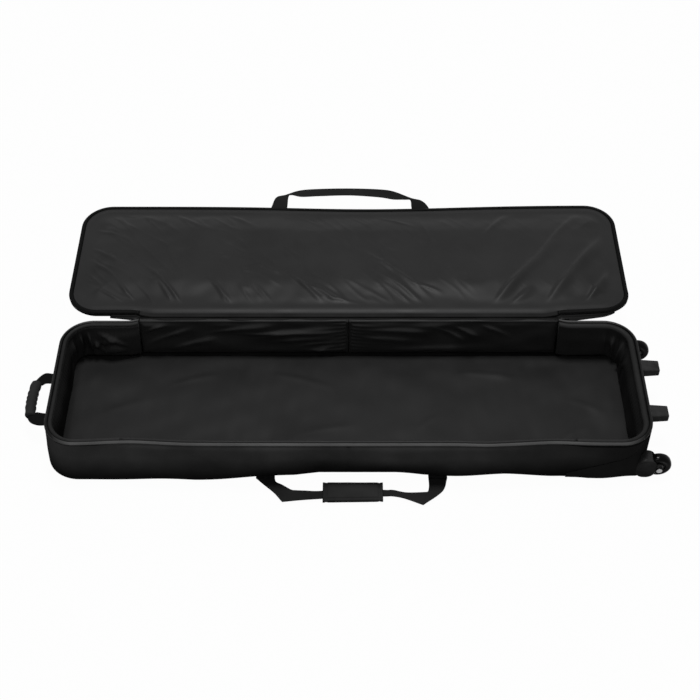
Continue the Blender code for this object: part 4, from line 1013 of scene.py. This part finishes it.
def smooth_line(stops):
    """A smooth line through a few places."""
    stops = np.asarray(stops, float)
    ends = np.vstack([2.0 * stops[0] - stops[1], stops, 2.0 * stops[-1] - stops[-2]])
    t = np.linspace(0.0, 1.0, STRAP_STEPS, endpoint=False)[:, None]
    line = []
    for a, b, c, d in zip(ends, ends[1:], ends[2:], ends[3:]):
        line.append(0.5 * (2.0 * b + (c - a) * t + (2.0 * a - 5.0 * b + 4.0 * c - d) * t ** 2
                           + (3.0 * b - a - 3.0 * c + d) * t ** 3))
    return np.vstack(line + [stops[-1:]])


def strap(name, edges, thick, crown):
    """A flat strap between two edge lines, a little crowned, with its edges turned round."""
    first = smooth_line([pair[0] for pair in edges])
    second = smooth_line([pair[1] for pair in edges])
    along = np.gradient((first + second) / 2.0, axis=0)
    face = np.cross(along, second - first)
    face = face / np.linalg.norm(face, axis=1)[:, None]
    face = face * np.where(face[:, 2:] < 0.0, -1.0, 1.0)
    half = thick / 2.0 * STRAP_ROUND
    lift = crown * np.sin(np.pi * STRAP_ACROSS)
    from_end = np.minimum(np.arange(len(first)), np.arange(len(first))[::-1])
    rows = []
    for a, b, n, swell in zip(first, second, face, ease(from_end, STRAP_STEPS * 0.5, STRAP_STEPS * 2.0)):
        middle = a + (b - a) * STRAP_ACROSS[:, None]
        over = middle + n * (lift * swell + half)[:, None]
        under = middle + n * (lift * swell - half)[:, None]
        rows.append(np.vstack([over, under[::-1]]))
    return close_up(skin(name, rows, around=True))


def sewn_tail(name, loop_end, gap, length, height):
    """The end of a loop, sewn flat from a small gap past the loop's fold."""
    first, second = loop_end
    start_y = first[1] + gap
    edges = [((first[0], start_y + t * length, height), (second[0], start_y + t * length, height))
             for t in ANCHOR_STOPS]
    return strap(name, edges, ANCHOR_THICK, 0.0)


webbing = woven_cloth("webbing", grey=WEB_GREY, thread=WEB_THREAD, rough=0.60, gloss=0.0,
                      relief=0.8, fade=0.2)
tray_loop = strap("tray_handle_strap", TRAY_LOOP, WEB_THICK, WEB_CROWN)
dress(tray_loop, webbing, "tray_handle", "webbing", "tray_handle_webbing")
lid_loop = strap("lid_handle_strap", LID_LOOP, WEB_THICK, WEB_CROWN)
dress(lid_loop, webbing, "lid_handle", "webbing", "lid_handle_webbing")
for end, word in ((0, "left"), (-1, "right")):
    tray_tail = sewn_tail("tray_handle_tail_" + word, TRAY_LOOP[end], TRAY_ANCHOR_GAP, ANCHOR_LENGTH,
                          TRAY_ANCHOR_Z)
    dress(tray_tail, webbing, "tray", "webbing", "tray_handle_anchor_" + word)
    lid_tail = sewn_tail("lid_handle_tail_" + word, LID_LOOP[end], -LID_ANCHOR_GAP, -ANCHOR_LENGTH,
                         LID_ANCHOR_Z)
    dress(lid_tail, webbing, "lid", "webbing", "lid_handle_anchor_" + word)

# Grip wrap
# A padded sleeve of cover cloth closed round the tray handle with hook-and-loop tape. A bound edge is
# stitched down along each of its long sides, and a square hem across each end.
WRAP_LEFT = -0.062
WRAP_RIGHT = 0.083
WRAP_NEAR = -0.285
WRAP_FAR = -0.229
WRAP_TURN_IN = 0.003
WRAP_Z = 0.0092
WRAP_HIGH = 0.0068
WRAP_POINTS = 80
HEM_AT = 0.060
HEM_HALF = 0.018
HEM_DEEP = 0.50
BOUND_AT = 0.76
BOUND_HALF = 0.05
BOUND_DEEP = 0.50

wrap_turn = np.linspace(0.0, 2.0 * math.pi, WRAP_POINTS + 1)[:-1]
wrap_cos = np.cos(wrap_turn)
wrap_sin = np.sin(wrap_turn)
wrap_run = np.concatenate([[WRAP_LEFT + WRAP_TURN_IN], np.linspace(WRAP_LEFT, WRAP_RIGHT, 70),
                           [WRAP_RIGHT - WRAP_TURN_IN]])
wrap_rows = []
for x in wrap_run:
    share = (x - WRAP_LEFT) / (WRAP_RIGHT - WRAP_LEFT)
    hem = 1.0 - HEM_DEEP * math.exp(-((min(share, 1.0 - share) - HEM_AT) / HEM_HALF) ** 2)
    half_y = (WRAP_FAR - WRAP_NEAR) / 2.0 - 0.0015 * share
    mid_y = (WRAP_FAR + WRAP_NEAR) / 2.0 + 0.0010 * share
    wide = half_y * np.sign(wrap_cos) * np.abs(wrap_cos) ** 0.45
    tall = WRAP_HIGH * hem * np.sign(wrap_sin) * np.abs(wrap_sin) ** 0.4
    tall = tall * (1.0 - BOUND_DEEP * np.exp(-((np.abs(wide) / half_y - BOUND_AT) / BOUND_HALF) ** 2))
    tall = tall * (1.0 + 0.06 * rumple(np.full(WRAP_POINTS, x), wide, 0.05, 81))
    wrap_rows.append(np.column_stack([np.full(WRAP_POINTS, x), mid_y + wide, WRAP_Z + tall]))
grip_wrap = close_up(skin("handle_wrap", wrap_rows, around=True))
dress(grip_wrap, plain_cover, "tray_handle", "cover_cloth", "handle_grip_wrap")

# Grab handle
# A short webbing loop on the carry end, sewn down to a stiff patch through two tabs. A round sleeve is
# rolled over its middle as a grip, and the loop hangs slack and a little low.
GRAB_Z = 0.058
GRAB_HALF = 0.065
GRAB_WIDE = 0.034
GRAB_THICK = 0.0018
GRAB_CROWN = 0.0035
GRAB_DROOP = 0.003
GRAB_SHADE_GREY = 0.0060
GRIP_X = -0.7890
GRIP_Z = 0.0535
GRIP_RADIUS = 0.0132
GRIP_HALF = 0.055
GRIP_BOW = 0.004
GRIP_POINTS = 28
GRIP_PLEAT = 0.019
GRIP_END_ROUND = 0.004
GRIP_GREY = 0.0190
GRIP_THREAD = 0.0012
PATCH_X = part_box("end_handle_patch")[1][0]
PATCH_HALF_L = 0.100
PATCH_HALF_H = 0.031
PATCH_CORNER = 0.008
PATCH_STEP = 0.003
PATCH_THICK = 0.0020
PATCH_RAISED = 0.0006
TAB_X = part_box("front_end_handle_tab")[0][0]
TAB_THICK = 0.0016
TAB_DROPS = (0.028, 0.02, 0.008, 0.0)

patch_y, patch_z, patch_in = pad_plan(PATCH_HALF_L, PATCH_HALF_H, PATCH_CORNER, PATCH_STEP)
patch_out = PATCH_THICK * ease(patch_in, -0.001, 0.003) + PATCH_RAISED * ease(patch_in, 0.006, 0.012)
patch_grid = np.stack([PATCH_X - np.pad(patch_out, 1), np.pad(patch_y, 1, mode="edge"),
                       GRAB_Z + np.pad(patch_z, 1, mode="edge")], axis=2)
end_patch = close_up(skin("grab_handle_patch", patch_grid))
dress(end_patch, plain_cover, "tray", "cover_cloth", "end_handle_patch")
for side, word in ((-1, "front"), (1, "rear")):
    tab_low = side * GRAB_HALF - GRAB_WIDE / 2.0
    tab_high = side * GRAB_HALF + GRAB_WIDE / 2.0
    tab_edges = [((TAB_X, tab_low, GRAB_Z - drop), (TAB_X, tab_high, GRAB_Z - drop)) for drop in TAB_DROPS]
    tab = strap("grab_tab_" + word, tab_edges, TAB_THICK, 0.0)
    dress(tab, webbing, "tray", "webbing", word + "_end_handle_tab")
grab_edges = []
for side in (-1, 1):
    droop = GRAB_DROOP if side < 0 else 0.0
    leg = [((TAB_X - 0.003, side * (GRAB_HALF + 0.017), GRAB_Z),
            (TAB_X - 0.003, side * (GRAB_HALF - 0.017), GRAB_Z)),
           ((-0.752, side * (GRAB_HALF + 0.018 + droop), GRAB_Z - droop),
            (-0.752, side * (GRAB_HALF - 0.016), GRAB_Z)),
           ((-0.772, side * (GRAB_HALF + 0.019), GRAB_Z - droop),
            (-0.764, side * (GRAB_HALF - 0.017), GRAB_Z + 0.001)),
           ((-0.790, side * (GRAB_HALF + 0.005), GRIP_Z - 0.001),
            (-0.773, side * (GRAB_HALF - 0.021), GRIP_Z + 0.003)),
           ((GRIP_X - 0.008, side * 0.044, GRIP_Z),
            (GRIP_X + 0.008, side * 0.041, GRIP_Z + 0.001))]
    grab_edges += leg if side < 0 else leg[::-1]
# The grab loop is the webbing darkened as painted shade.
shaded_loop_webbing = woven_cloth("shaded_loop_webbing", grey=GRAB_SHADE_GREY, thread=WEB_THREAD, rough=0.60, gloss=0.0,
                           relief=0.8, fade=0.2)
grab_strap = strap("grab_strap", grab_edges, GRAB_THICK, GRAB_CROWN)
dress(grab_strap, shaded_loop_webbing, "end_handle", "webbing", "end_handle_strap")
grip_cloth = woven_cloth("grip_cloth", grey=GRIP_GREY, thread=GRIP_THREAD, rough=0.50, gloss=0.01,
                         relief=0.5, fade=0.2)
grip_turn = np.linspace(0.0, 2.0 * math.pi, GRIP_POINTS + 1)[:-1]
grip_seam = 1.0 + 0.05 * np.exp(-((grip_turn - 2.2) / 0.18) ** 2)
grip_rows = []
for y in np.linspace(-GRIP_HALF, GRIP_HALF, 60):
    edge_share = (GRIP_HALF - abs(y)) / GRIP_END_ROUND
    pleat = 1.0 + 0.055 * math.sin(y * 2.0 * math.pi / GRIP_PLEAT + 2.0 * math.sin(y * 70.0))
    radius = GRIP_RADIUS * (0.86 + 0.14 * min(1.0, edge_share) ** 0.5) * pleat * grip_seam
    bow = GRIP_BOW * (1.0 - (y / GRIP_HALF) ** 2)
    grip_rows.append(np.column_stack([GRIP_X - bow + radius * np.cos(grip_turn), np.full(GRIP_POINTS, y),
                                      GRIP_Z + radius * np.sin(grip_turn)]))
grab_grip = close_up(skin("grab_grip", grip_rows, around=True))
dress(grab_grip, grip_cloth, "end_handle", "black_plastic", "end_handle_grip")

# Wheel-end guard
# A second layer of tougher coated cloth over the lower corners of the wheel end, cut on a slope along
# both walls and sewn down along its upper edge. It takes the scuffs when the bag is rolled.
GUARD_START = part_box("wheel_end_guard")[0][0]
GUARD_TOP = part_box("wheel_end_guard")[1][2]
GUARD_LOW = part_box("wheel_end_guard")[0][2] + 0.001
GUARD_STEP = 0.006
GUARD_OFF = 0.0019
GUARD_SEWN = 0.0010
GUARD_THICK = 0.0012
GUARD_SEAM_X = (GUARD_START, 0.585, 0.632, 0.680, 0.714)
GUARD_SEAM_Z = (0.021, 0.045, 0.061, 0.078, GUARD_TOP)
GUARD_GREY = 0.0118
GUARD_THREAD = 0.0016

guard_cloth = woven_cloth("guard_cloth", grey=GUARD_GREY, thread=GUARD_THREAD, rough=0.55, gloss=0.0,
                          relief=0.5, fade=0.2)
guard_at, guard_out = rim_run(GUARD_STEP)
on_guard = guard_at[:, 0] > GUARD_START
guard_at, guard_out = guard_at[on_guard], guard_out[on_guard]
guard_high = np.interp(guard_at[:, 0], GUARD_SEAM_X, GUARD_SEAM_Z)
guard_rows = []
for t in np.linspace(0.0, 1.0, 22):
    z = guard_high + (GUARD_LOW - guard_high) * t
    stand, lift = wall_shape(guard_at, guard_out, z)
    stand = stand + GUARD_OFF - GUARD_SEWN * max(0.0, 1.0 - t / 0.05)
    guard_rows.append(np.column_stack([guard_at + guard_out * stand[:, None], z + lift]))
end_guard = skin("end_guard_cloth", guard_rows)
dress(end_guard, guard_cloth, "tray", "cover_cloth", "wheel_end_guard")
guard_layer = end_guard.modifiers.new("layer", "SOLIDIFY")
guard_layer.thickness = GUARD_THICK
guard_layer.offset = 0.0

# Wheel housings and stand feet
# Black moulded nylon: a housing on each lower corner of the wheel end, with cheeks that carry the axle,
# and above them two blunt feet that the bag stands on when it is upended, each held by a sunk screw.
PLASTIC_GREY = 0.0190
PLASTIC_GRAIN = 0.0009
PLASTIC_FOOT_SHADE = 0.03
PLASTIC_FOOT_Z = 0.075
GRAIN_RELIEF = 0.25
RUB_SCALE = 55.0
RUB_DETAIL = 5.0
RUB_RANGE = (0.35, 0.65)
RUB_SHINE = 0.06
STEEL_GREY = 0.32
STEEL_GRAIN = 0.0012
BOARD_GREY = 0.0045
BOARD_GRAIN = 0.0010
EDGE_ANGLE = math.radians(40.0)
HOUSING_MELT = 24
HOUSING_VOXEL = 0.0012
FOOT_EDGE = 0.0010
BOLT_EDGE = 0.0006


def moulded_plastic(name, grey, rough, grain, gloss, painted_foot_shade=1.0):
    """Black injection-moulded plastic with a fine spark-eroded grain, rubbed patches and painted shade
    darkening its foot.
    """
    mat = bpy.data.materials.new(name)
    mat.use_nodes = True
    tree = mat.node_tree
    shader = tree.nodes["Principled BSDF"]
    shader.inputs["Specular IOR Level"].default_value = gloss
    place = tree.nodes.new("ShaderNodeTexCoord").outputs["Object"]
    emboss(tree, speckle(tree, place, 1.0 / grain, 2.0), GRAIN_RELIEF, grain / 6.0)
    rub = speckle(tree, place, RUB_SCALE, RUB_DETAIL)
    tone = ramp(tree, rub, *RUB_RANGE, grey * 0.8, grey * 1.35)
    foot = ramp(tree, object_place(tree, place)["Z"], 0.0, PLASTIC_FOOT_Z, painted_foot_shade, 1.0)
    tree.links.new(combine(tree, "MULTIPLY", tone, foot), shader.inputs["Base Color"])
    shine = ramp(tree, rub, *RUB_RANGE, rough - RUB_SHINE, rough + RUB_SHINE)
    tree.links.new(shine, shader.inputs["Roughness"])
    return mat


def rigid_copy(name, node):
    """A copy of a rigid CAD piece with its flat faces made whole again."""
    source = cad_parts[node]
    obj = bpy.data.objects.new(name, source.data.copy())
    scene.collection.objects.link(obj)
    bpy.context.view_layer.update()
    obj.data.transform(source.matrix_world)
    bm = bmesh.new()
    bm.from_mesh(obj.data)
    bmesh.ops.remove_doubles(bm, verts=bm.verts[:], dist=0.00002)
    bmesh.ops.dissolve_limit(bm, angle_limit=0.02, verts=bm.verts[:], edges=bm.edges[:])
    bm.to_mesh(obj.data)
    bm.free()
    obj.data.shade_smooth()
    obj.data.set_sharp_from_angle(angle=EDGE_ANGLE)
    return obj


def edged(name, node, radius):
    """A rigid piece with its edges rounded to a radius."""
    obj = rigid_copy(name, node)
    edges = obj.modifiers.new("edges", "BEVEL")
    edges.width = radius
    edges.segments = 3
    edges.limit_method = "ANGLE"
    edges.angle_limit = EDGE_ANGLE
    edges.harden_normals = True
    return obj


def melted(name, node):
    """A moulding whose edges and corners all flow into each other."""
    obj = rigid_copy(name, node)
    voxels = obj.modifiers.new("voxels", "REMESH")
    voxels.mode = "VOXEL"
    voxels.voxel_size = HOUSING_VOXEL
    voxels.use_smooth_shade = True
    rounding = obj.modifiers.new("rounding", "SMOOTH")
    rounding.factor = 0.5
    rounding.iterations = HOUSING_MELT
    return obj


# The housings and feet are painted darker toward the floor, as painted shade.
black_plastic = moulded_plastic("black_plastic", grey=PLASTIC_GREY, rough=0.30, grain=PLASTIC_GRAIN,
                                gloss=0.020, painted_foot_shade=PLASTIC_FOOT_SHADE)
bright_steel = moulded_plastic("bright_steel", grey=STEEL_GREY, rough=0.26, grain=STEEL_GRAIN, gloss=0.5)
bright_steel.node_tree.nodes["Principled BSDF"].inputs["Metallic"].default_value = 1.0
board_plastic = moulded_plastic("board_plastic", grey=BOARD_GREY, rough=0.5, grain=BOARD_GRAIN, gloss=0.02)
for word in ("front", "rear"):
    housing = melted(word + "_housing_moulding", word + "_wheel_housing")
    dress(housing, black_plastic, "tray", "black_plastic", word + "_wheel_housing")
    foot = edged(word + "_foot_moulding", word + "_stand_foot", FOOT_EDGE)
    dress(foot, black_plastic, "tray", "black_plastic", word + "_stand_foot")
    for piece in ("foot_screw", "axle_bolt"):
        metal = edged(word + "_" + piece + "_metal", word + "_" + piece, BOLT_EDGE)
        dress(metal, bright_steel, "tray", "steel", word + "_" + piece)
    for piece in ("foot_nut", "axle_nut"):
        paint(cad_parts[word + "_" + piece], bright_steel)
for node in ("bottom_board", "end_backing_plate"):
    paint(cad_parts[node], board_plastic)

# Wheels
# Small solid wheels like those of inline skates: a glossy black urethane tyre cast round a nylon hub,
# turning on two ball bearings over the axle bolt.
WHEEL_RADIUS = 0.032
WHEEL_STEPS = 72
WHEEL_EDGE_ANGLE = math.radians(50.0)
# One side of each turned profile, as radius and distance from the wheel's middle.
TYRE_SIDE = ((0.0185, 0.0105), (0.0205, 0.0112), (0.0245, 0.0120), (0.0275, 0.0114), (0.0298, 0.0094),
             (0.0313, 0.0062))
TYRE_CREST = ((WHEEL_RADIUS, 0.0),)
HUB_SIDE = ((0.0113, 0.0108), (0.0135, 0.0110), (0.0140, 0.0088), (0.0166, 0.0084), (0.0172, 0.0108),
            (0.0183, 0.0108))
TYRE_GREY = 0.0012
TYRE_GRAIN = 0.0030
HUB_GREY = 0.0040
BEARING_GREY = 0.060


def turned(name, side, crest, centre):
    """A piece turned on the axle's line from one side of its profile and the points on its middle."""
    profile = tuple((radius, -along) for radius, along in side) + crest + side[::-1]
    angles = np.linspace(0.0, 2.0 * math.pi, WHEEL_STEPS + 1)[:-1]
    rows = []
    for radius, along in profile + profile[:1]:
        rows.append(np.column_stack([centre[0] + radius * np.cos(angles),
                                     np.full(WHEEL_STEPS, centre[1] + along),
                                     centre[2] + radius * np.sin(angles)]))
    obj = skin(name, rows, around=True)
    bm = bmesh.new()
    bm.from_mesh(obj.data)
    bmesh.ops.remove_doubles(bm, verts=bm.verts[:], dist=0.00001)
    bmesh.ops.recalc_face_normals(bm, faces=bm.faces[:])
    bm.to_mesh(obj.data)
    bm.free()
    obj.data.set_sharp_from_angle(angle=WHEEL_EDGE_ANGLE)
    return obj


tyre_urethane = moulded_plastic("tyre_urethane", grey=TYRE_GREY, rough=0.16, grain=TYRE_GRAIN, gloss=0.045)
hub_plastic = moulded_plastic("hub_plastic", grey=HUB_GREY, rough=0.30, grain=PLASTIC_GRAIN, gloss=0.03)
bearing_steel = moulded_plastic("bearing_steel", grey=BEARING_GREY, rough=0.30, grain=STEEL_GRAIN, gloss=0.2)
for word in ("front", "rear"):
    wheel_low, wheel_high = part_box(word + "_tyre")
    wheel_at = [(a + b) / 2.0 for a, b in zip(wheel_low, wheel_high)]
    tyre = turned(word + "_tyre_urethane", TYRE_SIDE, TYRE_CREST, wheel_at)
    dress(tyre, tyre_urethane, word + "_wheel", "tyre", word + "_tyre")
    hub = turned(word + "_hub", HUB_SIDE, (), wheel_at)
    dress(hub, hub_plastic, word + "_wheel", "black_plastic", word + "_wheel_core")
    for piece in ("wheel_bearing_left", "wheel_bearing_right", "bearing_spacer"):
        paint(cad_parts[word + "_" + piece], bearing_steel)

# Zip sliders and pulls
# Two black die-cast sliders are parked at the ends of the hinge, where the zip starts and stops.
# Each has a short cast pull that swings on its pin.
SLIDER_GREY = 0.008
SLIDER_GRAIN = 0.0015
SLIDER_EDGE = 0.0004
PULL_EDGE = 0.0003

slider_black = moulded_plastic("slider_black", grey=SLIDER_GREY, rough=0.30, grain=SLIDER_GRAIN, gloss=0.12)
for word in ("left", "right"):
    slider = edged(word + "_slider_casting", word + "_zip_slider", SLIDER_EDGE)
    dress(slider, slider_black, word + "_slider", "steel", word + "_zip_slider")
    pull = edged(word + "_pull_casting", word + "_zip_pull", PULL_EDGE)
    dress(pull, slider_black, word + "_pull", "steel", word + "_zip_pull")
